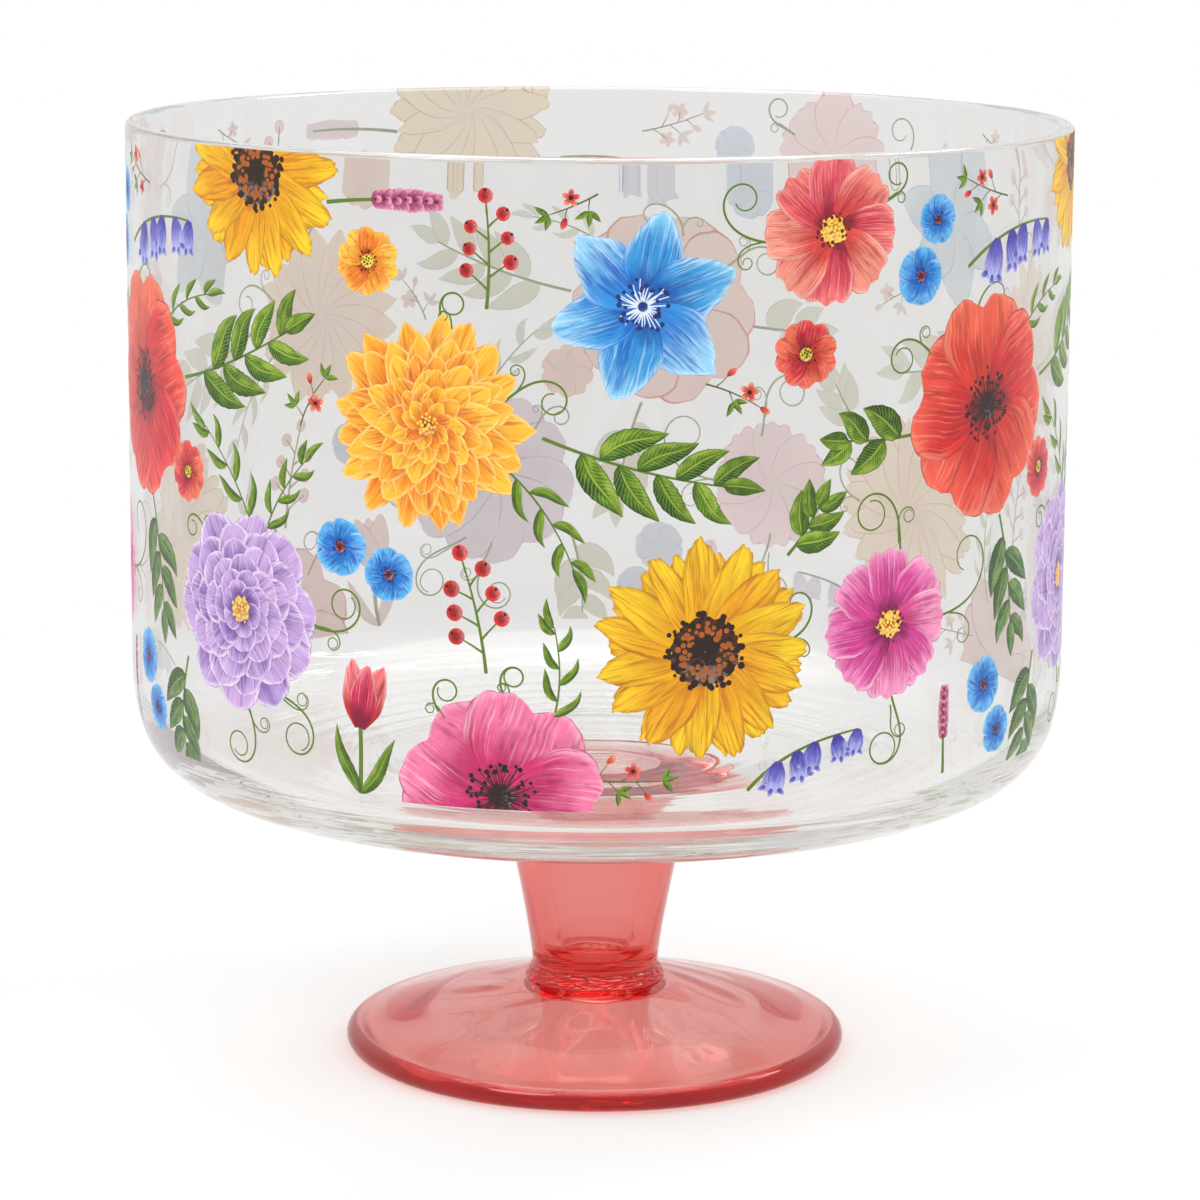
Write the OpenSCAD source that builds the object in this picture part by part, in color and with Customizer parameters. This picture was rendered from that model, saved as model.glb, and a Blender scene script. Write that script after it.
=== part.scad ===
// Trifle bowl on a pedestal foot: clear bowl, coral stem, joint bead and foot,
// with fired enamel motifs round the outside wall. Millimetres, +Z up, and the
// origin is the centre of the foot's resting ring.

/* [Bowl] */
// Outside diameter of the bowl
bowl_d = 220; // [200:2:240]
// Height of the bowl from its seat on the stem to its rim
bowl_h = 162; // [155:1:180]
// Thickness of the side wall
wall_t = 2.8; // [2:0.1:4]
// Thickness of the base
base_t = 5.5; // [4:0.1:8]
// Height of the rounded bottom corner
corner_h = 40.5; // [34:0.5:48]
// How far the rounded corner reaches in from the side wall
corner_in = 56.8; // [48:0.2:64]
// Rise of the underside from the stem's seat to the corner
base_rise = 3.8; // [2:0.1:6]
// Dip of the floor at the middle of the bowl
floor_dip = 1.2; // [0.4:0.1:2.5]

/* [Stem] */
// Height of the stem
stem_h = 40.6; // [34:0.2:50]
// Diameter of the stem's top before it spreads under the bowl
stem_top_d = 46; // [40:0.5:56]
// Diameter of the joint between stem and bowl
stem_joint_d = 60; // [58:0.5:66]
// Height over which the stem spreads to that joint
spread_h = 11; // [8:0.5:14]
// Diameter of the stem at its foot
stem_low_d = 30.2; // [26:0.2:34]
// Thickness of the hollow stem's wall
stem_wall = 7.2; // [4:0.1:8.5]
// Thickness of the solid glass at the stem's foot
stem_base_t = 1.4; // [1.2:0.1:6]
// Radius inside the hollow's bottom corner
hollow_round = 5; // [2:0.1:6]

/* [Joint bead] */
// Height of the bead of glass between stem and foot
bead_h = 3.5; // [2.5:0.1:6]
// Diameter of the bead at its widest
bead_d = 33.6; // [32:0.2:36]

/* [Foot] */
// Diameter of the foot
foot_d = 120; // [104:1:140]
// Height of the foot at its middle
foot_h = 16.9; // [14:0.1:24]
// Height of the top of the foot's rounded edge
foot_edge_h = 5.8; // [5:0.1:8]
// Depth of the rounded edge
foot_edge_in = 3.4; // [2.5:0.1:4.5]
// Thickness of the foot
foot_t = 4.8; // [3.6:0.1:6]
// Width of the flat ring that the foot stands on
rest_w = 3; // [1.5:0.1:5]

/* [Print] */
// How far the printed band runs down over the rounded corner
print_over_corner = 22.3; // [10:0.1:24]
// Clear glass between the rim and the printed band
print_rim_gap = 1; // [0.8:0.1:4]
// Thickness of the fired enamel
film_t = 0.2; // [0.15:0.01:0.4]
// Number of times that the design repeats round the bowl
repeats = 3; // [1:1:5]
// Turn of the whole design round the bowl, in degrees
print_turn = 60; // [0:5:120]
// Height of the band that the design is drawn for
sheet_h = 139; // [139:1:170]

/* [Flowers] */
// Diameter of the wild rose
rose_d = 50; // [36:0.5:52]
// Diameter of the gerbera
gerbera_d = 48; // [36:0.5:49]
// Diameter of the camellia
camellia_d = 46; // [34:0.5:47]
// Diameter of the marguerite
marguerite_d = 50; // [36:0.5:51]
// Diameter of the clematis
clematis_d = 42; // [30:0.5:43]
// Diameter of the cosmos
cosmos_d = 34; // [24:0.5:35]
// Diameter of the primula
primula_d = 15; // [10:0.2:16]
// Diameter of the forget-me-not
forget_me_not_d = 13; // [8:0.2:14]
// Height of the tulip's cup
tulip_h = 15; // [10:0.2:16]

/* [Sprigs] */
// Length of the longest leafy stalk
stalk_l = 40; // [30:0.5:41]
// Length of the longest leaf
leaf_l = 16; // [10:0.2:17]
// Width of the widest leaf
leaf_w = 6.6; // [4:0.1:7]
// Width of the stalks
stalk_w = 0.9; // [0.6:0.05:1.2]
// Length of the longest lavender stalk
lavender_l = 26; // [18:0.5:27]
// Length of the longest bluebell stalk
bluebell_l = 34; // [24:0.5:35]
// Length of a bluebell's cup
bell_l = 9; // [6:0.1:9.5]
// Length of the longest berry stalk
berry_stalk_l = 22; // [16:0.5:23]
// Diameter of a berry
berry_d = 3.8; // [2.4:0.1:4]

/* [Hidden] */

$fn = 120;

bowl_r = bowl_d / 2;
bead_z = foot_h;
stem_z = bead_z + bead_h;
seat_z = stem_z + stem_h;
rim_z = seat_z + bowl_h;
corner_z = seat_z + base_rise + corner_h;
corner_r = bowl_r - corner_in;
rim_r = wall_t / 2;
stem_top_r = stem_top_d / 2;
joint_r = stem_joint_d / 2;
stem_low_r = stem_low_d / 2;
foot_r = foot_d / 2;
print_top = rim_z - print_rim_gap;
print_low = corner_z - print_over_corner;
print_h = print_top - print_low;
repeat_angle = 360 / repeats;
// One repeat is drawn this many times as wide as it is tall, and its motifs are
// printed smaller or larger where the band is not as drawn
sheet_shape_share = 1.657;
print_scale = min(PI * bowl_d / repeats / sheet_shape_share, print_h) / sheet_h;

corner_steps = 14;
rim_steps = 10;
stem_steps = 22;
edge_steps = 12;
stalk_steps = 7;
leaf_steps = 6;

// Shape of the rounded corner: 1 is a plain ellipse, less is squarer
corner_share = 0.52;
// Shape of the stem's flare and spread and of the foot's slope: 1 is straight
flare_share = 1.28;
spread_share = 2;
slope_share = 1.1;
// The foot's underside runs down to the resting ring past this share of its hollow,
// in a curve of this shape
taper_from_share = 0.71;
taper_share = 1.4;

// Points of a squarish quarter ellipse, from its side down to its bottom
function corner_points(in, down, z) = [
    for (i = [0 : corner_steps])
        let (a = 90 * i / corner_steps)
        [corner_r + in * pow(cos(a), corner_share), z - down * pow(sin(a), corner_share)]
];

// Outside of the bowl from the rim's round down to the edge of the base
wall_points = concat([[bowl_r, rim_z - rim_r]], corner_points(corner_in, corner_h, corner_z));

module bowl() {
    rim = [for (i = [0 : rim_steps]) let (a = 180 - 180 * i / rim_steps)
        [bowl_r - rim_r + rim_r * cos(a), rim_z - rim_r + rim_r * sin(a)]];
    inside = corner_points(corner_in - wall_t, corner_h - base_t, corner_z);
    floor_z = seat_z + base_rise + base_t;
    color("aliceblue", 0.45)
        rotate_extrude()
            polygon(concat(
                rim,
                wall_points,
                [[joint_r, seat_z], [0, seat_z], [0, floor_z - floor_dip]],
                [for (i = [corner_steps : -1 : 0]) inside[i]]
            ));
}

// Outside radius of the stem without and with its spread, by the share of its height
function flare_r(share) = stem_low_r + (stem_top_r - stem_low_r) * pow(share, flare_share);
function stem_r(share) = flare_r(share)
    + (joint_r - stem_top_r) * pow(max(0, 1 - (1 - share) * stem_h / spread_h), spread_share);

module stem() {
    hollow_z = stem_z + stem_base_t;
    function hollow_r(z) = flare_r((z - stem_z) / stem_h) - stem_wall;
    round_top = hollow_z + hollow_round;
    flat_r = hollow_r(round_top) - hollow_round;
    color("salmon", 0.75)
        rotate_extrude()
            polygon(concat(
                [[0, stem_z]],
                [for (i = [0 : stem_steps]) let (s = i / stem_steps) [stem_r(s), stem_z + s * stem_h]],
                [for (i = [stem_steps : -1 : 0])
                    let (z = round_top + (seat_z - round_top) * i / stem_steps) [hollow_r(z), z]],
                [for (i = [1 : edge_steps]) let (a = 90 * i / edge_steps)
                    [flat_r + hollow_round * cos(a), round_top - hollow_round * sin(a)]],
                [[0, hollow_z]]
            ));
}

module joint_bead() {
    belly = (bead_d - stem_low_d) / 2;
    color("indianred", 0.85)
        rotate_extrude()
            polygon(concat(
                [[0, bead_z]],
                [for (i = [0 : edge_steps]) let (s = i / edge_steps)
                    [stem_low_r + belly * cos(90 * s), bead_z + s * bead_h]],
                [[0, stem_z]]
            ));
}

module foot() {
    seat_r = bead_d / 2;
    slope_r = foot_r - foot_edge_in;
    hollow_r = slope_r - rest_w;
    taper_r = hollow_r * taper_from_share;
    function top_z(r) = foot_h
        - (foot_h - foot_edge_h) * pow((r - seat_r) / (slope_r - seat_r), slope_share);
    function low_z(r) = (top_z(r) - foot_t)
        * (1 - pow(max(0, (r - taper_r) / (hollow_r - taper_r)), taper_share));
    slope = [for (i = [0 : edge_steps]) seat_r + (slope_r - seat_r) * i / edge_steps];
    color("salmon", 0.75)
        rotate_extrude()
            polygon(concat(
                [[0, foot_h]],
                [for (r = slope) [r, top_z(r)]],
                [for (i = [1 : edge_steps]) let (a = 90 - 180 * i / edge_steps)
                    [slope_r + foot_edge_in * cos(a), foot_edge_h / 2 * (1 + sin(a))]],
                [[hollow_r, 0]],
                [for (i = [edge_steps - 1 : -1 : 0])
                    if (slope[i] < hollow_r - rest_w / 3 && top_z(slope[i]) > foot_t)
                        [slope[i], low_z(slope[i])]],
                [[0, foot_h - foot_t]]
            ));
}

// Radius of the bowl's outside at a height
function wall_r(z) = lookup(z, [for (p = wall_points) [p.y, p.x]]);

// The skin of enamel all round the printed band, which the motifs are cut from
module enamel_skin() {
    inner = concat(
        [[wall_r(print_top), print_top]],
        [for (p = wall_points) if (p.y < print_top && p.y > print_low) p],
        [[wall_r(print_low), print_low]]
    );
    rotate_extrude()
        polygon(concat(inner, [for (i = [len(inner) - 1 : -1 : 0]) inner[i] + [film_t, 0]]));
}

// Stands each copy of a flat motif against the wall. A place is its share of the
// way round one repeat, its share of the band's height, its turn in degrees and
// its share of the full size, and some motifs read further values from it
module on_wall(place_shares) {
    overrun = 1;
    intersection() {
        enamel_skin();
        for (k = [0 : repeats - 1], place = place_shares)
            rotate([0, 0, print_turn + repeat_angle * (k + place[0])])
                translate([corner_r, 0, print_low + print_h * place[1]])
                    rotate([90, 0, 90])
                        linear_extrude(height = corner_in + film_t + overrun)
                            rotate([0, 0, place[2]])
                                scale(print_scale)
                                    let ($place = place, $size = place[3]) children();
    }
}

// Outline of a flower seen from the front: the clefts between its petals, how
// soft the petals' tips are, and a notch in each tip, all as shares
module bloom(petals, d, cleft_share, soft_share, notch_share, steps) {
    notch_width_share = 0.16;
    polygon([for (i = [0 : petals * steps - 1])
        let (
            a = 360 * i / (petals * steps),
            crest = pow(abs(cos(petals * a / 2)), soft_share),
            off = (i / steps + 0.5) % 1 - 0.5,
            notch = notch_share * exp(-pow(off / notch_width_share, 2)),
            r = d / 2 * (1 - cleft_share * (1 - crest) - notch)
        )
        [r * cos(a), r * sin(a)]
    ]);
}

// A point part of the way along a bowed stalk, and the stalk's turn there
function stalk_at(l, bow, u) = [l * u, bow * l * u * u];
function stalk_turn(bow, u) = atan(2 * bow * u);

module stalk(l, bow, w, end_share = 1) {
    function side(u, half) = stalk_at(l, bow, u)
        + half * [-sin(stalk_turn(bow, u)), cos(stalk_turn(bow, u))];
    polygon(concat(
        [for (i = [0 : stalk_steps]) side(end_share * i / stalk_steps, w / 2)],
        [for (i = [stalk_steps : -1 : 0]) side(end_share * i / stalk_steps, -w / 2)]
    ));
}

// A pointed leaf or petal along +X, widest where the full share puts it
module blade(l, w, bow, full_share) {
    function mid(u) = bow * l * sin(180 * u);
    function half(u) = w / 2 * sin(180 * pow(u, full_share));
    polygon(concat(
        [for (i = [0 : leaf_steps]) let (u = i / leaf_steps) [u * l, mid(u) + half(u)]],
        [for (i = [leaf_steps - 1 : -1 : 1]) let (u = i / leaf_steps) [u * l, mid(u) - half(u)]]
    ));
}

// Puts what follows part of the way along a stalk, turned off it
module beside(l, bow, u, turn) {
    translate(stalk_at(l, bow, u))
        rotate([0, 0, stalk_turn(bow, u) + turn])
            children();
}

module leaf_sprig() {
    l = stalk_l * $size;
    leaves = $place[4];
    bow = $place[5];
    broad = $place[6];
    first_share = 0.22;
    last_share = 0.94;
    leaf_full_share = 0.8;
    spread = 38;
    long = leaf_l * pow($size, 0.35);
    stalk(l, bow, stalk_w);
    for (i = [0 : leaves - 1]) {
        u = first_share + (last_share - first_share) * i / (leaves - 1);
        side = i % 2 == 0 ? -1 : 1;
        shrink = 1.1 - 0.4 * u;
        beside(l, bow, u, side * spread)
            blade(long * shrink, leaf_w * broad * shrink, side * 0.1, leaf_full_share);
    }
    beside(l, bow, last_share, 0)
        blade(long * 0.85, leaf_w * broad * 0.8, 0.04, leaf_full_share);
}

module lavender() {
    l = lavender_l * $size;
    bow = $place[4];
    buds = 6;
    bare_share = 0.42;
    bud_w = lavender_l * 0.19;
    head_steps = buds * 4;
    function half(v) = bud_w / 2 * (1 - 0.45 * v) * (0.62 + 0.38 * abs(sin(180 * buds * v)));
    function edge(i, side) = let (
            v = i / head_steps,
            u = bare_share + (1 - bare_share) * v,
            a = stalk_turn(bow, u)
        )
        stalk_at(l, bow, u) + side * half(v) * [-sin(a), cos(a)];
    stalk(l, bow, stalk_w * 0.9, bare_share + 0.02);
    polygon(concat(
        [for (i = [0 : head_steps]) edge(i, 1)],
        [for (i = [head_steps : -1 : 0]) edge(i, -1)]
    ));
}

module bluebell() {
    l = bluebell_l * $size;
    bow = $place[4];
    bells = 5;
    first_share = 0.35;
    bell_full_share = 1.5;
    swing = 14;
    stalk(l, bow, stalk_w * 0.9);
    for (i = [0 : bells - 1]) {
        u = first_share + (1 - first_share) * i / (bells - 1);
        shrink = 1.15 - 0.35 * u;
        down = -90 - $place[2] - stalk_turn(bow, u);
        beside(l, bow, u, down + swing * (i % 2 == 0 ? -1 : 1))
            blade(bell_l * shrink, bell_l * 0.62 * shrink, 0, bell_full_share);
    }
}

module berry_sprig() {
    l = berry_stalk_l * $size;
    bow = $place[4];
    berries = 7;
    first_share = 0.2;
    spread = 48;
    stalk(l, bow, stalk_w * 0.8);
    for (i = [0 : berries - 1]) {
        u = first_share + (1 - first_share) * i / (berries - 1);
        twig = berry_stalk_l * (0.34 - 0.14 * u);
        beside(l, bow, u, spread * (i % 2 == 0 ? -1 : 1)) {
            stalk(twig, 0, stalk_w * 0.6);
            translate([twig, 0]) circle(d = berry_d, $fn = 20);
        }
    }
}

module tulip() {
    cup = tulip_h * $size;
    l = cup * 1.1;
    bow = 0.1;
    cup_w = cup * 0.46;
    stalk(l, bow, stalk_w);
    for (turn = [-15, 15, 0])
        beside(l, bow, 0.96, turn) blade(cup, cup_w, 0, 0.8);
    for (side = [-1, 1])
        rotate([0, 0, 27 * side]) blade(l, cup * 0.2, -0.1 * side, 0.8);
}

rose_place_shares = [[0.174, 0.597, 20, 1], [0.66, 0.022, 70, 0.92]];
gerbera_place_shares = [[0.59, 0.597, 0, 1]];
camellia_place_shares = [[0.373, 0.273, 10, 1]];
marguerite_place_shares = [[0.851, 0.252, 0, 1], [0.4, 0.964, 0, 0.92]];
clematis_place_shares = [[0.79, 0.784, 15, 1]];
cosmos_place_shares = [[0.043, 0.273, 0, 1], [0.972, 0.892, 0, 0.97]];
primula_place_shares = [[0.286, 0.475, 0, 0.94], [0.53, 0.842, 0, 1], [0.946, 0.705, 0, 1]];
forget_me_not_place_shares = [
    [0.499, 0.396, 0, 1], [0.551, 0.36, 30, 0.92], [0.074, 0.813, 0, 1],
    [0.095, 0.899, 20, 0.85], [0.178, 0.144, 0, 1], [0.204, 0.065, 10, 0.85]
];
tulip_place_shares = [[0.517, 0.007, 82, 1]];
leaf_sprig_place_shares = [
    [0.282, 0.626, 12, 0.95, 8, 0.15, 0.9],
    [0.069, 0.568, 186, 0.45, 4, -0.1, 1],
    [0.2, 0.417, -68, 0.65, 6, -0.15, 0.9],
    [0.699, 0.583, -22, 1, 8, 0.12, 0.9],
    [0.282, 0.173, 250, 0.55, 6, 0.2, 0.9],
    [0.93, 0.396, 46, 0.32, 5, 0.15, 0.75]
];
lavender_place_shares = [[0.122, 0.014, 102, 0.73, -0.15], [0.486, 0.928, 8, 1, -0.1]];
bluebell_place_shares = [[0.894, 0.029, 50, 0.76, -0.5], [0.139, 0.82, 34, 1, -0.4]];
berry_place_shares = [[0.647, 0.216, 96, 1, 0.1], [0.647, 0.777, 84, 0.9, 0.1]];

module rose_decals() {
    color("tomato") on_wall(rose_place_shares) bloom(5, rose_d * $size, 0.3, 0.55, 0.09, 10);
}

module gerbera_decals() {
    color("orange") on_wall(gerbera_place_shares) bloom(18, gerbera_d * $size, 0.14, 0.8, 0, 6);
}

module camellia_decals() {
    color("mediumpurple") on_wall(camellia_place_shares) bloom(9, camellia_d * $size, 0.12, 0.6, 0, 8);
}

module marguerite_decals() {
    color("gold") on_wall(marguerite_place_shares) bloom(16, marguerite_d * $size, 0.26, 0.9, 0, 6);
}

module clematis_decals() {
    color("skyblue") on_wall(clematis_place_shares) bloom(6, clematis_d * $size, 0.55, 1.1, 0, 10);
}

module cosmos_decals() {
    color("hotpink") on_wall(cosmos_place_shares) bloom(8, cosmos_d * $size, 0.22, 0.7, 0.06, 8);
}

module primula_decals() {
    color("coral") on_wall(primula_place_shares) bloom(5, primula_d * $size, 0.22, 0.6, 0.08, 6);
}

module forget_me_not_decals() {
    color("dodgerblue") on_wall(forget_me_not_place_shares)
        bloom(5, forget_me_not_d * $size, 0.25, 0.6, 0, 6);
}

module tulip_decals() {
    color("darkorange") on_wall(tulip_place_shares) tulip();
}

module leaf_sprig_decals() {
    color("forestgreen") on_wall(leaf_sprig_place_shares) leaf_sprig();
}

module lavender_decals() {
    color("slateblue") on_wall(lavender_place_shares) lavender();
}

module bluebell_decals() {
    color("royalblue") on_wall(bluebell_place_shares) bluebell();
}

module berry_decals() {
    color("crimson") on_wall(berry_place_shares) berry_sprig();
}

bowl();
stem();
joint_bead();
foot();
rose_decals();
gerbera_decals();
camellia_decals();
marguerite_decals();
clematis_decals();
cosmos_decals();
primula_decals();
forget_me_not_decals();
tulip_decals();
leaf_sprig_decals();
lavender_decals();
bluebell_decals();
berry_decals();
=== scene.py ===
import math
import bpy
import numpy as np
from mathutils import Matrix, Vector


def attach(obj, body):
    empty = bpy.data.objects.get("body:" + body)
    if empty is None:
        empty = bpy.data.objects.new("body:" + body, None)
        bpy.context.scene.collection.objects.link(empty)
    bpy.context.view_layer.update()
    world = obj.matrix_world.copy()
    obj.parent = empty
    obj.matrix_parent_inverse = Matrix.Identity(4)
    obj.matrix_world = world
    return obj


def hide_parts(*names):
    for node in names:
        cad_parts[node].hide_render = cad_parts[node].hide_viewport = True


# Trifle bowl: clear blown bowl with fired flower prints, on a coral glass pedestal.
# Millimetres in the dictionaries, metres in the meshes.

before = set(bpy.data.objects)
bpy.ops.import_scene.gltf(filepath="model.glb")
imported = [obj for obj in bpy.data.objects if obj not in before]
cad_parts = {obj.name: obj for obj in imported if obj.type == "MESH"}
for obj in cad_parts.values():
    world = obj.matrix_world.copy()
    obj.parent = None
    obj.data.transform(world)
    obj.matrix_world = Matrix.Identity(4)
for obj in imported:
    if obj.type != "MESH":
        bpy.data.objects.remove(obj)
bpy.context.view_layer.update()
scene = bpy.context.scene
mm = 0.001
rng = np.random.default_rng(7)
print("frame loaded")

bowl = {
    "radius": 110.0, "rimHeight": 223.0, "wall": 2.8, "base": 5.5,
    "seatHeight": 61.0, "seatRadius": 30.0, "baseRise": 3.8, "floorDip": 1.2,
    "cornerHeight": 40.5, "cornerIn": 56.8, "cornerPower": 0.52,
    "cornerRings": 44, "turns": 240,
    "ringTop": 79.0, "ringFade": 14.0, "ringIn": 0.07, "ringOut": 0.035, "ringStep": 0.9, "wallStep": 6.0,
}
pedestal = {
    "stemLow": 20.4, "stemTopRadius": 23.0, "stemLowRadius": 15.1, "stemWall": 7.2, "stemRipple": 0.1,
    "stemBase": 1.4, "hollowRound": 5.0, "jointRadius": 30.0, "spreadHeight": 11.0, "flarePower": 1.28,
    "beadLow": 16.9, "beadRadius": 16.8, "beadFold": 0.24, "turns": 200, "footTurns": 360, "footDrag": 0.07,
    "seam": 0.012, "footRadius": 60.0, "edgeHeight": 5.8, "edgeIn": 3.4, "footThick": 4.8,
    "restWidth": 3.0, "slopePower": 1.1, "taperRadius": 38.06, "taperPower": 1.4,
    "poleRadius": 0.5, "stemStep": 3.0, "footStep": 2.5, "seatSteps": (14.0, 10.0, 5.0),
    "dragWaves": ((3, 0.12, 0.4), (5, -0.2, 2.1), (7, 0.16, 4.0), (11, 0.3, 1.0)),
}
printBand = {"low": 83.0, "high": 222.0, "repeats": 3, "turnDeg": 60.0, "lift": 0.02, "step": 0.012,
             "film": 0.02}


# Mesh making

# verts: n x 3 in millimetres; faces: list of index arrays, one row per face.
def addMesh(name, verts, faces, smooth=True, points=None, facesOf=None):
    mesh = bpy.data.meshes.new(name)
    mesh.from_pydata((verts * mm).tolist(), [], [row.tolist() for part in faces for row in part])
    mesh.polygons.foreach_set("use_smooth", np.full(len(mesh.polygons), smooth))
    for key, values in (points or {}).items():
        kind = "FLOAT_VECTOR" if values.ndim == 2 else "FLOAT"
        layer = mesh.attributes.new(key, kind, "POINT")
        layer.data.foreach_set("vector" if values.ndim == 2 else "value", values.astype(np.float32).ravel())
    for key, values in (facesOf or {}).items():
        layer = mesh.attributes.new(key, "FLOAT", "FACE")
        layer.data.foreach_set("value", values.astype(np.float32))
    mesh.update()
    piece = bpy.data.objects.new(name, mesh)
    scene.collection.objects.link(piece)
    return piece


# Surface of revolution P(s, t) = (r(s) cos t, r(s) sin t, z(s)), closed by a pole at each end.
# profile: rows of (r, z) without its two poles; the poles lie on the axis at the end rows' heights.
def revolve(profile, turns, ripple=None):
    t = np.arange(turns) / turns * 2 * np.pi
    r = np.repeat(profile[:, :1], turns, 1)
    z = np.repeat(profile[:, 1:], turns, 1)
    if ripple is not None:
        dr, dz = ripple(profile, t)
        r, z = r + dr, z + dz
    ring = np.stack([r * np.cos(t), r * np.sin(t), z], -1).reshape(-1, 3)
    poles = np.array([[0, 0, profile[0, 1]], [0, 0, profile[-1, 1]]])
    verts = np.concatenate([ring, poles])
    rows = len(profile)
    i, j = np.meshgrid(np.arange(rows - 1), np.arange(turns), indexing="ij")
    k = (j + 1) % turns
    quads = np.stack([i * turns + j, i * turns + k, (i + 1) * turns + k, (i + 1) * turns + j],
                     -1).reshape(-1, 4)
    j = np.arange(turns)
    k = (j + 1) % turns
    low = np.stack([np.full(turns, len(ring)), k, j], -1)
    last = (rows - 1) * turns
    top = np.stack([np.full(turns, len(ring) + 1), last + j, last + k], -1)
    return verts, [quads, low, top]


# Picks the rows of faces that lie flat at one of the given heights.
def levelAt(*heights):
    return lambda p, q: any(abs(p[1] - h) < 1e-6 and abs(q[1] - h) < 1e-6 for h in heights)


# 1 on the faces between two profile rows that isSeam picks, and on the end caps it names.
def ringFlags(profile, turns, isSeam):
    pairs = [isSeam(profile[i], profile[i + 1]) for i in range(len(profile) - 1)]
    caps = [isSeam(profile[0], np.array([0, profile[0, 1]])),
            isSeam(profile[-1], np.array([0, profile[-1, 1]]))]
    return np.concatenate([np.repeat(pairs, turns), np.repeat(caps, turns)]).astype(float)


# Adds rows along the straight runs of a profile so that no run below the height top is longer than step.
def smoothRows(rows, step, top=1e9):
    out = [rows[0]]
    for a, b in zip(rows[:-1], rows[1:]):
        count = max(1, int(np.ceil(np.hypot(*(b - a)) / step))) if min(a[1], b[1]) < top else 1
        out += [a + (b - a) * k / count for k in range(1, count + 1)]
    return np.array(out)


# Profiles of the glass

# Squarish quarter ellipse: r = c + in cos(a)^p, z = top - down sin(a)^p, a from 0 to 90 degrees.
def cornerCurve(cfg, inward, down):
    top = cfg["seatHeight"] + cfg["baseRise"] + cfg["cornerHeight"]
    s = np.linspace(0, 1, cfg["cornerRings"])
    a = np.pi / 2 * np.where(s < 0.5, 2 * s * s, 1 - 2 * (1 - s) ** 2)  # closer rows near both ends
    p = cfg["cornerPower"]
    c = cfg["radius"] - cfg["cornerIn"]
    return np.stack([c + inward * np.cos(a).clip(0) ** p, top - down * np.sin(a).clip(0) ** p], -1)


# Outside of the bowl from below the rim's round down to the edge of the base.
def wallProfile(cfg):
    top = np.array([[cfg["radius"], cfg["rimHeight"] - cfg["wall"] / 2]])
    return np.concatenate([top, cornerCurve(cfg, cfg["cornerIn"], cfg["cornerHeight"])])


outside = wallProfile(bowl)


# Radius of the bowl's outside at height z.
def wallRadius(z):
    return np.interp(z, outside[::-1, 1], outside[::-1, 0])


# Glass pieces

def bowlMesh(cfg):
    r0 = cfg["radius"]
    half = cfg["wall"] / 2
    a = np.linspace(0, np.pi, 25)[1:-1]
    rim = np.stack([r0 - half + half * np.cos(a), cfg["rimHeight"] - half + half * np.sin(a)], -1)
    inner = cornerCurve(cfg, cfg["cornerIn"] - cfg["wall"], cfg["cornerHeight"] - cfg["base"])
    innerTop = np.array([[r0 - cfg["wall"], cfg["rimHeight"] - half]])
    floorEdge = inner[-1]
    k = np.linspace(1, 0.02, 16)[1:]
    floor = np.stack([floorEdge[0] * k, floorEdge[1] - cfg["floorDip"] * (1 - k ** 2)], -1)  # shallow dish
    under = outside[::-1]  # edge of the base, up the corner and the wall
    hollow = pedestal["stemTopRadius"] - pedestal["stemWall"]
    seat = np.array([[r, cfg["seatHeight"]] for r in (1.0, hollow, cfg["seatRadius"])])
    s = np.linspace(0, 1, 10)[1:-1, None]
    slope = seat[-1] + (under[0] - seat[-1]) * s
    fine, top = cfg["ringStep"], cfg["ringTop"]
    outerRows = smoothRows(np.concatenate([seat, slope, under]), fine, top)
    innerRows = smoothRows(np.concatenate([innerTop, inner]), fine, top)
    profile = smoothRows(np.concatenate([outerRows, rim, innerRows, floor]), cfg["wallStep"])
    profile = np.concatenate([profile[:-len(floor)], smoothRows(profile[-len(floor) - 1:], fine)[1:]])
    run = np.concatenate([[0], np.cumsum(np.hypot(*np.diff(profile, axis=0).T))])[:, None]
    tangent = np.gradient(profile, axis=0)
    normal = np.stack([tangent[:, 1], -tangent[:, 0]], -1) / np.hypot(*tangent.T)[:, None]
    isInner = np.arange(len(profile))[:, None] > np.argmax(profile[:, 1])
    low = np.clip((cfg["ringTop"] - profile[:, 1:]) / cfg["ringFade"], 0, 1)
    off = np.clip((run - run[0]) / 3 - cfg["seatRadius"] / 3, 0, 1)
    depth = np.where(isInner, cfg["ringIn"], cfg["ringOut"] * off) * low

    # Maker's rings: each row moves along its normal by
    # depth (sin(run / 1.1 + turn + 0.8 sin(2 turn)) + 0.3 sin(run / 0.55 - 2 turn)).
    def rings(rows, t):
        turn = t[None]
        wave = np.sin(run / 1.1 + turn + 0.8 * np.sin(2 * turn)) + 0.3 * np.sin(run / 0.55 - 2 * turn)
        return depth * wave * normal[:, :1], depth * wave * normal[:, 1:]

    verts, faces = revolve(profile, cfg["turns"], rings)

    def isSeam(p, q):
        level = max(abs(p[1] - cfg["seatHeight"]), abs(q[1] - cfg["seatHeight"])) < 0.01
        return level and hollow - 0.01 <= min(p[0], q[0]) and max(p[0], q[0]) <= cfg["seatRadius"] + 0.01

    return addMesh("clearBowl", verts, faces, facesOf={"fused": ringFlags(profile, cfg["turns"], isSeam)})


# Flare of the stem by the share s of its height: low + (top - low) s^power.
def flareRadius(cfg, s):
    spread = cfg["stemTopRadius"] - cfg["stemLowRadius"]
    return cfg["stemLowRadius"] + spread * np.clip(s, 0, 1) ** cfg["flarePower"]


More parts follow.
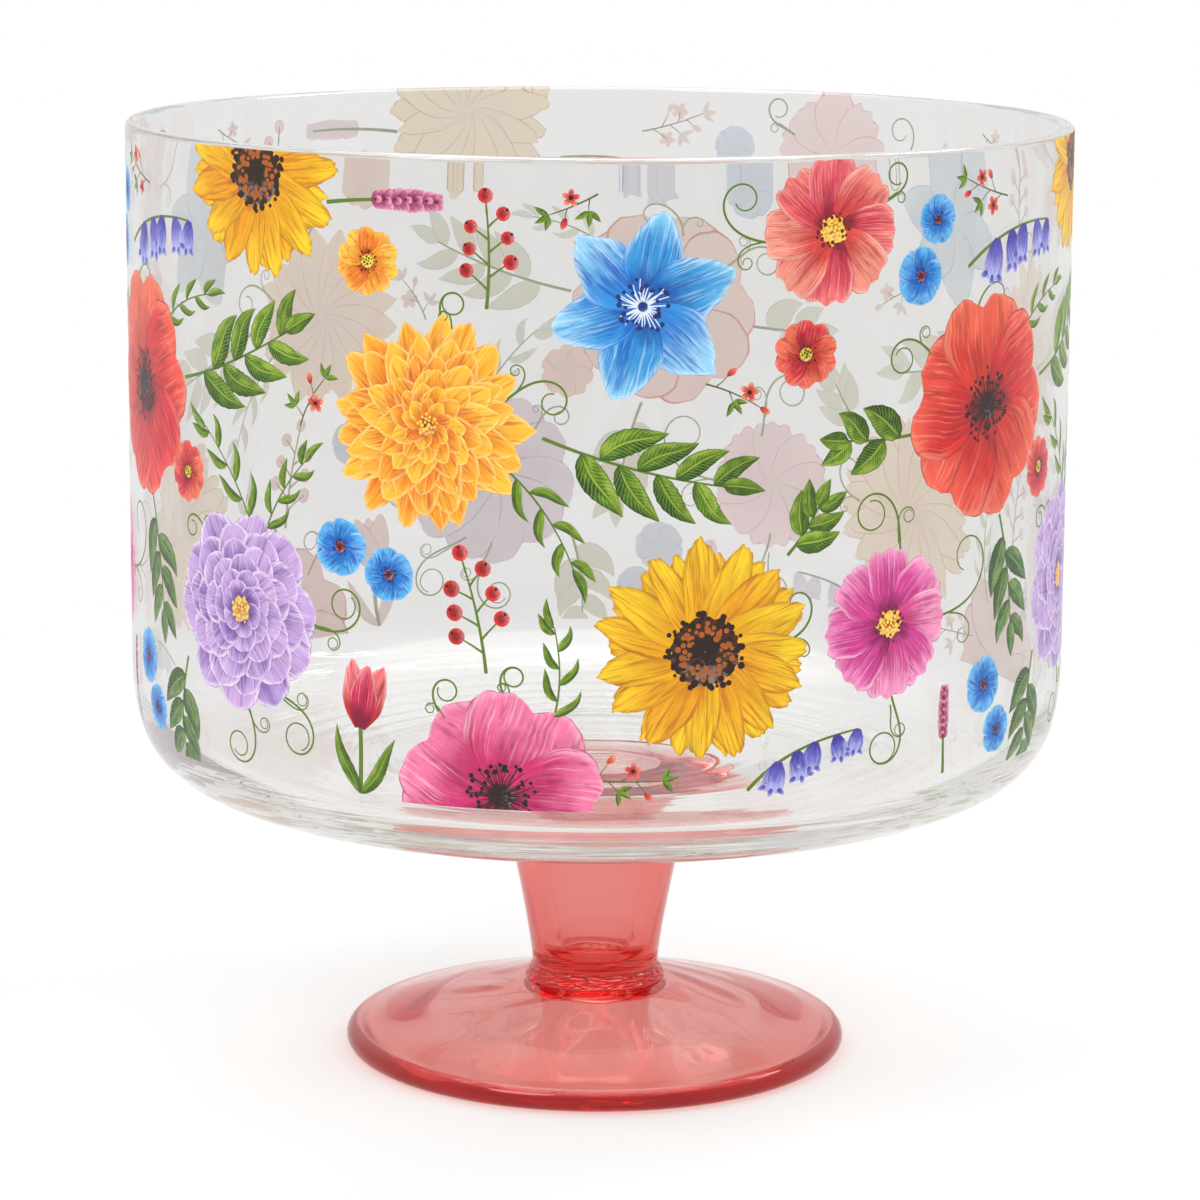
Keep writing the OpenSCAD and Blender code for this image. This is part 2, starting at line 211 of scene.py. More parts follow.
# Outside of the stem: the flare, plus a spread under the bowl that grows with the square of the height.
def stemRadius(cfg, s):
    tall = bowl["seatHeight"] - cfg["stemLow"]
    spread = np.clip(1 - (1 - s) * tall / cfg["spreadHeight"], 0, 1) ** 2
    return flareRadius(cfg, s) + (cfg["jointRadius"] - cfg["stemTopRadius"]) * spread


# Soft ripple left by the maker's tools: dr = scale * sum of sines in t and z.
def swirl(scale, rounds, seed):
    local = np.random.default_rng(seed)
    phase = local.uniform(0, 2 * np.pi, (rounds, 2))
    turn = local.integers(2, 7, rounds)
    rise = local.uniform(0.05, 0.25, rounds)

    def ripple(profile, t):
        z = profile[:, 1:]
        total = 0
        for k in range(rounds):
            along = np.sin(rise[k] * (z + profile[:, :1]) + phase[k, 1])
            total = total + np.sin(turn[k] * t[None] + phase[k, 0]) * along
        ends = np.clip((z - z.min()) / 1.2, 0, 1) * np.clip((z.max() - z) / 1.2, 0, 1)
        return scale * total / rounds * ends, 0 * total
    return ripple


def stemMesh(cfg):
    low, high = cfg["stemLow"] + cfg["seam"], bowl["seatHeight"] - cfg["seam"]
    tall = bowl["seatHeight"] - cfg["stemLow"]
    s = np.linspace(0, 1, 40)
    outer = np.stack([stemRadius(cfg, s), low + (high - low) * s], -1)
    hollowLow = cfg["stemLow"] + cfg["stemBase"]
    roundTop = hollowLow + cfg["hollowRound"]
    z = np.linspace(high, roundTop, 30)
    inner = np.stack([flareRadius(cfg, (z - cfg["stemLow"]) / tall) - cfg["stemWall"], z], -1)
    flat = inner[-1, 0] - cfg["hollowRound"]
    a = np.linspace(0, np.pi / 2, 12)[1:]
    bend = np.stack([flat + cfg["hollowRound"] * np.cos(a), roundTop - cfg["hollowRound"] * np.sin(a)], -1)
    pole = cfg["poleRadius"]
    profile = np.concatenate([[[pole, low]], outer, inner, bend, [[pole, hollowLow]]])
    profile = smoothRows(profile, cfg["stemStep"])
    verts, faces = revolve(profile, cfg["turns"], swirl(cfg["stemRipple"], 6, 3))
    fused = ringFlags(profile, cfg["turns"], levelAt(low, high))
    return addMesh("coralStem", verts, faces, facesOf={"fused": fused})


def beadMesh(cfg):
    low, high = cfg["beadLow"] + cfg["seam"], cfg["stemLow"] - cfg["seam"]
    s = np.linspace(0, 1, 26)
    belly = cfg["beadRadius"] - cfg["stemLowRadius"]
    outer = np.stack([cfg["stemLowRadius"] + belly * np.cos(np.pi / 2 * s), low + (high - low) * s], -1)
    pole, step = cfg["poleRadius"], cfg["stemStep"]
    profile = np.concatenate([[[pole, low]], smoothRows(np.array([[pole, low], outer[0]]), step)[1:-1], outer,
                              smoothRows(np.array([outer[-1], [pole, high]]), step)[1:]])
    local = np.random.default_rng(11)
    waves = [(local.integers(5, 26), local.uniform(1, 5), *local.uniform(0, 6.28, 2)) for _ in range(14)]

    # dr = depth * sin(pi s) * sum sin(n t + bend sin(2 pi s + q) + p), dragged folds round the joint.
    def wrinkle(rows, t):
        v = np.clip((rows[:, 1:] - low) / (high - low), 0, 1)
        fold = sum(np.sin(n * t[None] + b * np.sin(6.28 * v + q) + p) for n, b, p, q in waves)
        return -cfg["beadFold"] * np.sin(np.pi * v) * np.abs(fold) ** 0.8, 0 * fold

    verts, faces = revolve(profile, cfg["turns"], wrinkle)
    fused = ringFlags(profile, cfg["turns"], levelAt(low, high))
    return addMesh("coralBead", verts, faces, facesOf={"fused": fused})


def footMesh(cfg):
    slopeR = cfg["footRadius"] - cfg["edgeIn"]
    hollowR = slopeR - cfg["restWidth"]
    seatR = cfg["beadRadius"]

    def top(r):
        fall = ((r - seatR).clip(0) / (slopeR - seatR)) ** cfg["slopePower"]
        return cfg["beadLow"] - (cfg["beadLow"] - cfg["edgeHeight"]) * fall

    pole = cfg["poleRadius"]
    under = np.linspace(pole, hollowR, 40)
    taper = ((under - cfg["taperRadius"]) / (hollowR - cfg["taperRadius"])).clip(0)
    low = np.stack([under, (top(under) - cfg["footThick"]) * (1 - taper ** cfg["taperPower"])], -1)
    a = np.linspace(-np.pi / 2, np.pi / 2, 28)
    edge = np.stack([slopeR + cfg["edgeIn"] * np.cos(a), cfg["edgeHeight"] / 2 * (1 + np.sin(a))], -1)
    slope = np.linspace(slopeR, seatR, 40)[1:]
    upper = np.stack([slope, top(slope)], -1)
    seat = np.array([[r, cfg["beadLow"]] for r in (*cfg["seatSteps"], pole)])
    profile = smoothRows(np.concatenate([low, edge, upper, seat]), cfg["footStep"])

    # Streaks that spiral out from the joint: dz = depth * sum sin(n t + k r + p), none at seat and edge.
    def drag(rows, t):
        r = rows[:, :1]
        wave = sum(np.sin(n * t[None] + k * r + p) for n, k, p in cfg["dragWaves"])
        where = np.clip((r - seatR - 1) / 8, 0, 1) * np.clip((slopeR - 2 - r) / 6, 0, 1)
        upper = np.clip(rows[:, 1:] / 2 - 0.5, 0, 1)
        return 0 * wave, cfg["footDrag"] * wave * where * upper

    verts, faces = revolve(profile, cfg["footTurns"], drag)
    atSeat = levelAt(cfg["beadLow"])

    def isSeam(p, q):
        return atSeat(p, q) and max(p[0], q[0]) <= seatR + 0.01

    fused = ringFlags(profile, cfg["footTurns"], isSeam)
    return addMesh("coralFoot", verts, faces, facesOf={"fused": fused})


# Materials

def newMaterial(name):
    mat = bpy.data.materials.new(name)
    mat.use_nodes = True
    mat.node_tree.nodes.clear()
    return mat, mat.node_tree


# Adds a node, sets its properties, and fills its inputs by name or number. A node given as a value stands for
# its first output.
def put(tree, kind, values=None, **props):
    node = tree.nodes.new(kind if kind.startswith("Node") else "ShaderNode" + kind)
    for key, value in props.items():
        setattr(node, key, value)
    for key, value in (values or {}).items():
        if isinstance(value, bpy.types.Node):
            value = value.outputs[0]
        if isinstance(value, bpy.types.NodeSocket):
            tree.links.new(value, node.inputs[key])
        else:
            node.inputs[key].default_value = value
    return node


def mathNode(tree, operation, a, b=None, c=None):
    values = {k: v for k, v in enumerate((a, b, c)) if v is not None}
    return put(tree, "Math", values, operation=operation).outputs[0]


def times(tree, a, b):
    return mathNode(tree, "MULTIPLY", a, b)


def timesPlus(tree, a, b, c):
    return mathNode(tree, "MULTIPLY_ADD", a, b, c)


def mixColor(tree, factor, a, b):
    return put(tree, "Mix", {0: factor, 6: a, 7: b}, data_type="RGBA").outputs[2]


def mixValue(tree, factor, a, b):
    return put(tree, "Mix", {0: factor, 2: a, 3: b}, data_type="FLOAT").outputs[0]


# Smooth step from the range low to high onto the range toLow to toHigh.
def ranged(tree, value, low, high, toLow=0.0, toHigh=1.0):
    values = {"Value": value, "From Min": low, "From Max": high, "To Min": toLow, "To Max": toHigh}
    return put(tree, "MapRange", values, interpolation_type="SMOOTHSTEP").outputs[0]


def attribute(tree, name):
    return put(tree, "Attribute", attribute_name=name)


# A new group with its input and output sockets.
def newGroup(name, inputs, output="Color", kind="Color"):
    tree = bpy.data.node_groups.new(name, "ShaderNodeTree")
    for label, inputKind in inputs:
        tree.interface.new_socket(label, in_out="INPUT", socket_type="NodeSocket" + inputKind)
    tree.interface.new_socket(output, in_out="OUTPUT", socket_type="NodeSocket" + kind)
    return tree, put(tree, "NodeGroupInput").outputs, put(tree, "NodeGroupOutput").inputs


def groupNode(tree, group, values):
    return put(tree, "Group", dict(enumerate(values)), node_tree=group).outputs[0]


glass = {
    "clear": {"ior": 1.5, "tint": (0.955, 0.952, 0.946, 1), "depthColor": (0.60, 0.58, 0.55, 1),
              "density": 5.5, "shade": (0.96, 0.96, 0.955, 1), "ripple": 0.015, "rippleScale": 18.0,
              "leak": 8.5},
    "coral": {"ior": 1.5, "tint": (0.96, 0.94, 0.935, 1), "depthColor": (0.915, 0.18, 0.12, 1),
              "density": 112.0, "shade": (0.965, 0.83, 0.795, 1), "ripple": 0.05, "rippleScale": 30.0,
              "leak": 6.5},
}


# Soft unevenness of blown glass: Height from two sizes of noise on Object coordinates.
def rippleGroup():
    tree, inp, out = newGroup("glassRipple", [("Vector", "Vector"), ("Scale", "Float")], "Height", "Float")
    broad = put(tree, "TexNoise", {"Vector": inp[0], "Scale": inp[1], "Detail": 1.0})
    fineScale = times(tree, inp[1], 3.1)
    fine = put(tree, "TexNoise", {"Vector": inp[0], "Scale": fineScale, "Detail": 2.0, "Distortion": 0.6})
    tree.links.new(timesPlus(tree, fine, 0.35, broad), out[0])
    return tree


# Refracting glass with its colour from the depth of glass. Shadow and diffuse rays go straight through, and
# so does light caught in the glass for more bounces than leak.
def glassMaterial(name, cfg, rippleTree):
    mat, tree = newMaterial(name)
    coords = put(tree, "TexCoord")
    ripple = groupNode(tree, rippleTree, [coords.outputs["Object"], cfg["rippleScale"]])
    bump = put(tree, "Bump", {"Height": ripple, "Strength": 0.35, "Distance": cfg["ripple"] * mm})
    body = put(tree, "BsdfPrincipled", {
        "Base Color": cfg["tint"], "Roughness": 0.0, "IOR": cfg["ior"], "Transmission Weight": 1.0,
        "Normal": bump})
    through = put(tree, "BsdfTransparent", {"Color": cfg["shade"]})
    path = put(tree, "LightPath")
    indirect = mathNode(tree, "MAXIMUM", path.outputs["Is Shadow Ray"], path.outputs["Is Diffuse Ray"])
    caught = mathNode(tree, "GREATER_THAN", path.outputs["Ray Depth"], cfg["leak"])
    indirect = mathNode(tree, "MAXIMUM", indirect, caught)
    shaded = put(tree, "MixShader", {0: indirect, 1: body, 2: through})
    clear = put(tree, "BsdfTransparent", {"Color": (1, 1, 1, 1)})
    fused = attribute(tree, "fused")
    surface = put(tree, "MixShader", {0: fused.outputs["Fac"], 1: shaded, 2: clear})
    depth = put(tree, "VolumeAbsorption", {"Color": cfg["depthColor"], "Density": cfg["density"]})
    put(tree, "OutputMaterial", {"Surface": surface, "Volume": depth})
    return mat


# Stage, light and camera

stage = {"floorRadius": 9.0, "shadowReach": 0.55, "keep": 0.25, "floorColor": (0.93, 0.93, 0.93, 1),
         "skyLight": 0.9, "horizon": 0.85, "zenith": 1.05, "room": 0.8, "softbox": 3.0,
         "air": (1.0, 0.992, 0.978, 1), "floorHeight": -0.0002, "upRange": (0.15, 0.85),
         "roomRange": (-0.85, -0.1), "boxRange": (0.76, 0.86), "shadowFrom": 0.06, "floorRange": (-1.4, -0.3),
         "floorTurns": 96}
lamps = {"keyLamp": {"place": (-1.1, -1.2, 1.9), "target": (0, 0, 0.12), "size": 1.1, "watts": 14},
         "rimLamp": {"place": (1.2, 0.5, 1.5), "target": (0, 0, 0.10), "size": 0.7, "watts": 8}}
view = {"distance": 0.997, "height": 0.298, "pitchDeg": 10.75, "rollDeg": 0.33, "lens": 127.95,
        "shiftX": 0.0024, "sensor": 36, "near": 0.01, "far": 40}


# 1 for camera, glossy and transmission rays.
def seenRay(tree):
    path = put(tree, "LightPath")
    either = mathNode(tree, "MAXIMUM", path.outputs["Is Camera Ray"], path.outputs["Is Glossy Ray"])
    return path, mathNode(tree, "MAXIMUM", either, path.outputs["Is Transmission Ray"])


# Camera rays see white. Reflected and refracted rays see a pale studio that brightens upward to a softbox
# overhead and darkens toward the room behind the camera; everything else is lit evenly.
def makeWorld(cfg):
    world = bpy.data.worlds.new("softStudio")
    scene.world = world
    world.use_nodes = True
    tree = world.node_tree
    tree.nodes.clear()
    path, seen = seenRay(tree)
    coords = put(tree, "TexCoord")
    split = put(tree, "SeparateXYZ", {0: coords.outputs["Generated"]})
    up = ranged(tree, split.outputs[2], *cfg["upRange"], cfg["horizon"], cfg["zenith"])
    room = ranged(tree, split.outputs[1], *cfg["roomRange"], cfg["room"], 1.0)
    box = ranged(tree, split.outputs[2], *cfg["boxRange"], 0.0, cfg["softbox"])
    level = mixValue(tree, seen, cfg["skyLight"], timesPlus(tree, up, room, box))
    plain = mixValue(tree, path.outputs["Is Camera Ray"], level, 1.0)
    back = put(tree, "Background", {"Color": cfg["air"], "Strength": plain})
    put(tree, "OutputWorld", {"Surface": back})


# White floor: its own light for the camera, reflections and refractions, kept back near the foot where the
# true shadow shows; plain diffuse for all other rays. Flat rings round the origin.
def makeFloor(cfg):
    turns = cfg["floorTurns"]
    t = np.arange(turns) / turns * 2 * np.pi
    rings = np.array([0.2, 0.5, 1.5, 4.0, cfg["floorRadius"]]) * 1000
    verts = np.concatenate([np.zeros((1, 3)),
                            np.stack([np.outer(rings, np.cos(t)), np.outer(rings, np.sin(t)),
                                      np.zeros((len(rings), turns))], -1).reshape(-1, 3)])
    verts[:, 2] = cfg["floorHeight"] * 1000
    j = np.arange(turns)
    k = (j + 1) % turns
    fan = np.stack([np.zeros(turns, int), 1 + j, 1 + k], -1)
    i = np.arange(len(rings) - 1)[:, None] * turns + 1
    quads = np.stack([i + j, i + turns + j, i + turns + k, i + k], -1).reshape(-1, 4)
    floor = addMesh("studioFloor", verts, [fan, quads])
    mat, tree = newMaterial("paleFloor")
    path, seen = seenRay(tree)
    coords = put(tree, "TexCoord")
    far = put(tree, "VectorMath", {0: coords.outputs["Object"]}, operation="LENGTH")
    keep = ranged(tree, far.outputs["Value"], cfg["shadowFrom"], cfg["shadowReach"], cfg["keep"], 1.0)
    lit = put(tree, "BsdfDiffuse", {"Color": cfg["floorColor"]})
    split = put(tree, "SeparateXYZ", {0: coords.outputs["Object"]})
    room = ranged(tree, split.outputs[1], *cfg["floorRange"], cfg["horizon"] * cfg["room"], cfg["horizon"])
    level = mixValue(tree, path.outputs["Is Camera Ray"], room, 1.0)
    glow = put(tree, "Emission", {"Color": (1, 1, 1, 1), "Strength": level})
    both = put(tree, "MixShader", {0: times(tree, seen, keep), 1: lit, 2: glow})
    put(tree, "OutputMaterial", {"Surface": both})
    floor.data.materials.append(mat)


def makeLamp(name, cfg):
    data = bpy.data.lights.new(name, "AREA")
    data.shape = "DISK"
    data.size = cfg["size"]
    data.energy = cfg["watts"]
    lamp = bpy.data.objects.new(name, data)
    lamp.location = cfg["place"]
    lamp.rotation_euler = (Vector(cfg["target"]) - lamp.location).to_track_quat("-Z", "Y").to_euler()
    scene.collection.objects.link(lamp)


def makeCamera(cfg):
    data = bpy.data.cameras.new("photoCamera")
    data.lens = cfg["lens"]
    data.sensor_width = cfg["sensor"]
    data.shift_x = cfg["shiftX"]
    data.clip_start = cfg["near"]
    data.clip_end = cfg["far"]
    camera = bpy.data.objects.new("photoCamera", data)
    camera.location = (0, -cfg["distance"], cfg["height"])
    camera.rotation_mode = "XYZ"
    camera.rotation_euler = (math.radians(90 - cfg["pitchDeg"]), 0, 0)
    camera.rotation_euler.rotate_axis("Z", math.radians(cfg["rollDeg"]))
    scene.collection.objects.link(camera)
    scene.camera = camera


makeCamera(view)
makeWorld(stage)
makeFloor(stage)
for lampName, lampValues in lamps.items():
    makeLamp(lampName, lampValues)
print("stage ready")


# Print: every petal, leaf and stalk is a small flat sheet worked out on a grid, then wrapped on the wall.
# A sheet holds x and z in millimetres, u along it, v across it, and rim, which is 1 on its own outline.

# Turns a flat sheet by an angle and moves it.
def turned(x, z, degrees, atX=0.0, atZ=0.0):
    a = math.radians(degrees)
    return x * math.cos(a) - z * math.sin(a) + atX, x * math.sin(a) + z * math.cos(a) + atZ


# Petal along +x. Up to its widest row, at the share full of its length, half the width is
# w / 2 (base + (1 - base) sin(90 u / full)). Past it, for a from 0 to 90 degrees,
# x = l (full + (1 - full) sin(a)^(2 / blunt)) and half the width is w / 2 cos(a)^(2 / blunt).
# Dents pull the tip in by notch l exp(-(z / w - dent)^2 / 0.012); ragged waves the whole outline.
def petal(length, width, full=0.62, blunt=2.0, base=0.12, notch=0.0, dents=(0.0,), ragged=0.0, sway=0.0,
          start=0.0):
    lowRows = max(4, int(length * full / 1.3))
    topRows = max(6, int(length * (1 - full) / 0.7))
    cols = max(5, int(width / 1.0) + 1)
    s = np.linspace(0, 1, lowRows)
    a = np.linspace(0, np.pi / 2, topRows + 1)[1:]
    u = np.concatenate([full * s, full + (1 - full) * np.sin(a) ** (2 / blunt)])[:, None]
    lowHalf = base + (1 - base) * np.sin(np.pi / 2 * s)
    topHalf = np.cos(a).clip(0) ** (2 / blunt)
    half = np.concatenate([lowHalf, topHalf.clip(0.02)])[:, None]
    near = np.concatenate([0 * s, a / (np.pi / 2)])[:, None]
    v = np.linspace(-1, 1, cols)[None]
    p = rng.uniform(0, 6.28, 6)
    uneven = np.sin(u * 9 + p[0] + v) + 0.6 * np.sin(u * 19 + p[1] - v) + 0.35 * np.sin(u * 41 + p[2])
    side = 1 + ragged * uneven
    z = width / 2 * half * v * side
    across = z / width
    dent = sum(np.exp(-(across - d) ** 2 / 0.012) for d in dents) * ((u - 0.7) / 0.3).clip(0) ** 2
    tipWave = ragged * (np.sin(across * 17 + p[3]) + 0.7 * np.sin(across * 37 + p[4])) * u ** 5
    x = start + (length - start) * (u * (1 - notch * dent) + 0.6 * tipWave)
    paintV = v * np.where(u > full, half, 1.0)
    rim = 1 - (1 - np.abs(v)) * (1 - near)
    return {"x": x, "z": z + length * sway * u ** 2, "u": u + 0 * v, "v": paintV, "rim": rim, "part": 0.0,
            "tilt": 0.38}


# Leaf along +x. Midrib z = l (bend sin(180 u) + curl sin(360 u)); half the width, set square to the midrib,
# is w / 2 sin(180 u^p)^0.85 with p putting the widest row at the share full.
def leafSheet(length, width, bend=0.06, curl=0.0, full=0.38):
    rows = max(9, int(length / 0.9))
    cols = max(5, int(width / 1.0) + 1)
    u, v = np.meshgrid(np.linspace(0, 1, rows), np.linspace(-1, 1, cols), indexing="ij")
    half = (np.sin(np.pi * u ** (math.log(0.5) / math.log(full))).clip(0) ** 0.85).clip(0.04)
    half = width / 2 * half * v * (1 + 0.04 * np.sin(u * 43 + rng.uniform(0, 6)))
    slope = np.arctan(np.pi * bend * np.cos(np.pi * u) + 2 * np.pi * curl * np.cos(2 * np.pi * u))
    middle = length * (bend * np.sin(np.pi * u) + curl * np.sin(2 * np.pi * u))
    return {"x": length * u - half * np.sin(slope), "z": middle + half * np.cos(slope), "u": u, "v": v,
            "rim": np.maximum(np.abs(v), u ** 30), "part": 1.0, "tilt": 0.1}


# Stalk along z = bow l u^2, narrowing to the share thin at its end.
def stalkSheet(length, bow, width, end=1.0, thin=0.5, part=2.0):
    rows = max(4, int(length / 1.1))
    u, v = np.meshgrid(np.linspace(0, end, rows), np.linspace(-1, 1, 3), indexing="ij")
    a = np.arctan(2 * bow * u)
    half = width / 2 * (1 + (thin - 1) * u) * v
    return {"x": length * u - half * np.sin(a), "z": bow * length * u ** 2 + half * np.cos(a), "u": u, "v": v,
            "rim": np.ones_like(u), "part": part}


# Disc: r = radius (1 + depth u sin(lobes t + p)), rings from a small middle ring outward.
def discSheet(radius, part=3.0, lobes=0, depth=0.0):
    rings = max(2, int(radius / 0.8) + 1)
    turns = max(9, min(48, int(radius * 7)))
    u, t = np.meshgrid(np.linspace(0.03, 1, rings), np.linspace(0, 2 * np.pi, turns + 1), indexing="ij")
    r = radius * u * (1 + depth * np.sin(lobes * t + rng.uniform(0, 6)) * u)
    return {"x": r * np.cos(t), "z": r * np.sin(t), "u": u, "v": t / np.pi - 1, "rim": u, "part": part,
            "ring": True}


# Tendril: its heading is 360 turns s^2.2 + sway sin(360 s), summed along the length.
def curlSheet(length, turns, width, sway=0.0, part=2.0):
    rows = max(24, int(length / 0.6))
    s = np.linspace(0, 1, rows)
    a = 2 * np.pi * turns * s ** 2.2 + sway * np.sin(2 * np.pi * s)
    middle = (a[1:] + a[:-1]) / 2
    step = length / (rows - 1)
    cx = np.concatenate([[0], np.cumsum(np.cos(middle) * step)])[:, None]
    cz = np.concatenate([[0], np.cumsum(np.sin(middle) * step)])[:, None]
    u, v = np.meshgrid(s, np.linspace(-1, 1, 3), indexing="ij")
    half = width / 2 * (1 - 0.5 * u) * v
    return {"x": cx - half * np.sin(a)[:, None], "z": cz + half * np.cos(a)[:, None], "u": u, "v": v,
            "rim": np.ones_like(u), "part": part}


# A copy of a sheet, turned and moved, on its own layer of the print.
def place(sheet, degrees=0.0, x=0.0, z=0.0, layer=0.0):
    out = dict(sheet)
    out["x"], out["z"] = turned(sheet["x"], sheet["z"], degrees, x, z)
    out["layer"] = sheet.get("layer", 0.0) + layer
    out["seed"] = sheet.get("seed", rng.uniform())
    return out


# Sheets round a flower, each a little astray.
def ringOf(count, make, layer, turn=0.0, jitter=2.5):
    return [place(make(), turn + 360 * k / count + rng.uniform(-jitter, jitter), layer=layer)
            for k in range(count)]


# Petals round a flower: length and width vary by the two ranges of shares, and each petal sways its own way.
def petals(count, length, longs, width, wides, shape, layer, turn, jitter, sway, **more):
    def make():
        size = length * rng.uniform(*longs), width * rng.uniform(*wides)
        return petal(*size, *shape, sway=rng.uniform(-sway, sway), **more)

    return ringOf(count, make, layer, turn, jitter)


# Specks spread between two radii by the golden angle.
def dots(count, inner, outer, size, layer, part=4.0):
    k = np.arange(count)
    r = np.sqrt(inner ** 2 + (outer ** 2 - inner ** 2) * (k + 0.5) / count) * rng.uniform(0.94, 1.06, count)
    a = np.radians(k * 137.508 + rng.uniform(-9, 9, count))
    return [place(discSheet(size * rng.uniform(0.6, 1.35), part), 0, rk * math.cos(ak), rk * math.sin(ak),
                  layer) for rk, ak in zip(r, a)]


# Fine threads of uneven length with a grain at the end of each.
def stamens(count, inner, outer, width, knob, layer):
    out = []
    for k in range(count):
        a = 360 * k / count + rng.uniform(-7, 7)
        reach = rng.uniform(0.55, 1.0) * outer
        thread = stalkSheet(max(reach - inner, 0.4), rng.uniform(-0.25, 0.25), width, part=4.0)
        thread["x"] = thread["x"] + inner
        out.append(place(thread, a, layer=layer))
        x, z = turned(reach, 0.0, a)
        out.append(place(discSheet(knob * rng.uniform(0.7, 1.3), 5.0), 0, x, z, layer + 0.6))
    return out


# One mesh of thin closed films. Flat (x, z) goes to angle turn + x / R and height z, at radius
# wall(z) + lift + step (layer + tilt v); each film has a front, a back and a rim.
def printPiece(name, motifs):
    band = printBand
    verts, quads = [], []
    values = {"paint": [], "part": [], "inner": [], "rim": [], "tone": []}
    base = 0
    for sheets, x0, z0, turnDeg, hue in motifs:
        for sheet in sheets:
            x, z = turned(sheet["x"], sheet["z"], turnDeg, x0, z0)
            cut = (z <= band["low"] + 1e-6) | (z >= band["high"] - 1e-6)
            z = z.clip(band["low"], band["high"])
            rows, cols = x.shape
            number = np.arange(rows * cols).reshape(rows, cols)
            if sheet.get("ring"):
                number[:, -1] = number[:, 0]
            i, j = np.meshgrid(np.arange(rows - 1), np.arange(cols - 1), indexing="ij")
            corners = [(i, j), (i + 1, j), (i + 1, j + 1), (i, j + 1)]
            face = np.stack([number[a, b] for a, b in corners], -1).reshape(-1, 4)
            gone = np.stack([cut[a, b] for a, b in corners], -1).reshape(-1, 4).all(1)
            face = face[~gone]
            if not len(face):
                continue
            lift = band["lift"] + band["step"] * (sheet["layer"] + sheet.get("tilt", 0.0) * sheet["v"])
            angle = x / bowl["radius"] + math.radians(band["turnDeg"])
            near = wallRadius(z) + lift
            for radius, side in ((near + band["film"], 0.0), (near, 1.0)):
                verts.append(np.stack([radius * np.cos(angle), radius * np.sin(angle), z], -1).reshape(-1, 3))
                values["paint"].append(np.stack([sheet["u"], sheet["v"], np.full_like(x, sheet["seed"])],
                                                -1).reshape(-1, 3))
                values["part"].append(np.full(x.size, sheet["part"]))
                values["inner"].append(np.full(x.size, side))
                values["rim"].append((sheet["rim"] + 0 * x).ravel())
                values["tone"].append(np.full(x.size, hue))
            around = np.stack([face, np.roll(face, -1, 1)], -1).reshape(-1, 2)
            there = around[:, 0] * x.size + around[:, 1]
            back = around[:, 1] * x.size + around[:, 0]
            edge = around[~np.isin(there, back)]
            sides = np.stack([edge[:, 1], edge[:, 0], edge[:, 0] + x.size, edge[:, 1] + x.size], -1)
            quads += [face + base, face[:, ::-1] + base + x.size, sides + base]
            base += 2 * x.size
    verts, quads = np.concatenate(verts), np.concatenate(quads)
    used = np.unique(quads)
    remap = np.full(len(verts), -1)
    remap[used] = np.arange(len(used))
    points = {key: np.concatenate(parts)[used] for key, parts in values.items()}
    return addMesh(name, verts[used], [remap[quads]], smooth=False, points=points)


repeatWidth = 2 * math.pi * bowl["radius"] / printBand["repeats"]


# Shares of the repeat and of the band to millimetres along the wall and up it.
def onWall(shareX, shareZ):
    return shareX * repeatWidth, printBand["low"] + shareZ * (printBand["high"] - printBand["low"])


# Each place in each repeat, drawn afresh, so that no two copies match stroke for stroke.
def everyRepeat(places, make):
    out = []
    for k in range(printBand["repeats"]):
        for row in places:
            x, z = onWall(row[0] + k, row[1])
            out.append((make(row), x, z, row[2], row[-1]))
    return out


# Motifs. A place is: share of the repeat round the bowl, share of the band's height, turn, size; tone comes
# last. The sizes are those of a motif of size 1: the radius of a flower, the length of a stalk.
motifSize = {"rose": 25.0, "gerbera": 24.0, "camellia": 23.0, "marguerite": 25.0, "clematis": 21.0,
             "cosmos": 17.0, "primula": 7.5, "forget_me_not": 6.5, "tulip": 15.0, "tulipStalk": 40.0,
             "sprig": 40.0, "sprigLeaf": 16.0, "sprigWide": 6.6, "lavender": 26.0, "bluebell": 34.0,
             "bell": 9.0, "berryTwig": 22.0, "berry": 1.9}


def roseSheets(row):
    r = motifSize["rose"] * row[3]
    out = petals(5, r, (0.95, 1.0), r, (1.12, 1.28), (0.62, 2.7, 0.14, 0.1), 1.0, 0, 2.5, 0.05, ragged=0.022)
    out += [place(discSheet(r * 0.13, 3.0, 7, 0.12), layer=2.2)]
    out += stamens(52, r * 0.07, r * 0.34, 0.3, 0.5, 3.2)
    return out + dots(22, r * 0.02, r * 0.11, 0.45, 5.0, 4.0)


def gerberaSheets(row):
    r = motifSize["gerbera"] * row[3]
    out = []
    for count, reach, width, layer, turn in ((17, 1.0, 0.4, 0.8, 0), (17, 0.86, 0.37, 2.0, 11),
                                             (15, 0.7, 0.34, 3.2, 4), (13, 0.54, 0.3, 4.4, 13),
                                             (11, 0.39, 0.24, 5.6, 2), (9, 0.26, 0.17, 6.8, 9)):
        out += petals(count, r * reach, (0.9, 1.0), r * width, (0.85, 1.1), (0.56, 1.6, 0.3), layer, turn, 4,
                      0.12, ragged=0.02)
    return out + [place(discSheet(r * 0.1), layer=7.8)] + dots(22, 0.2, r * 0.1, 0.4, 8.6, 4.0)


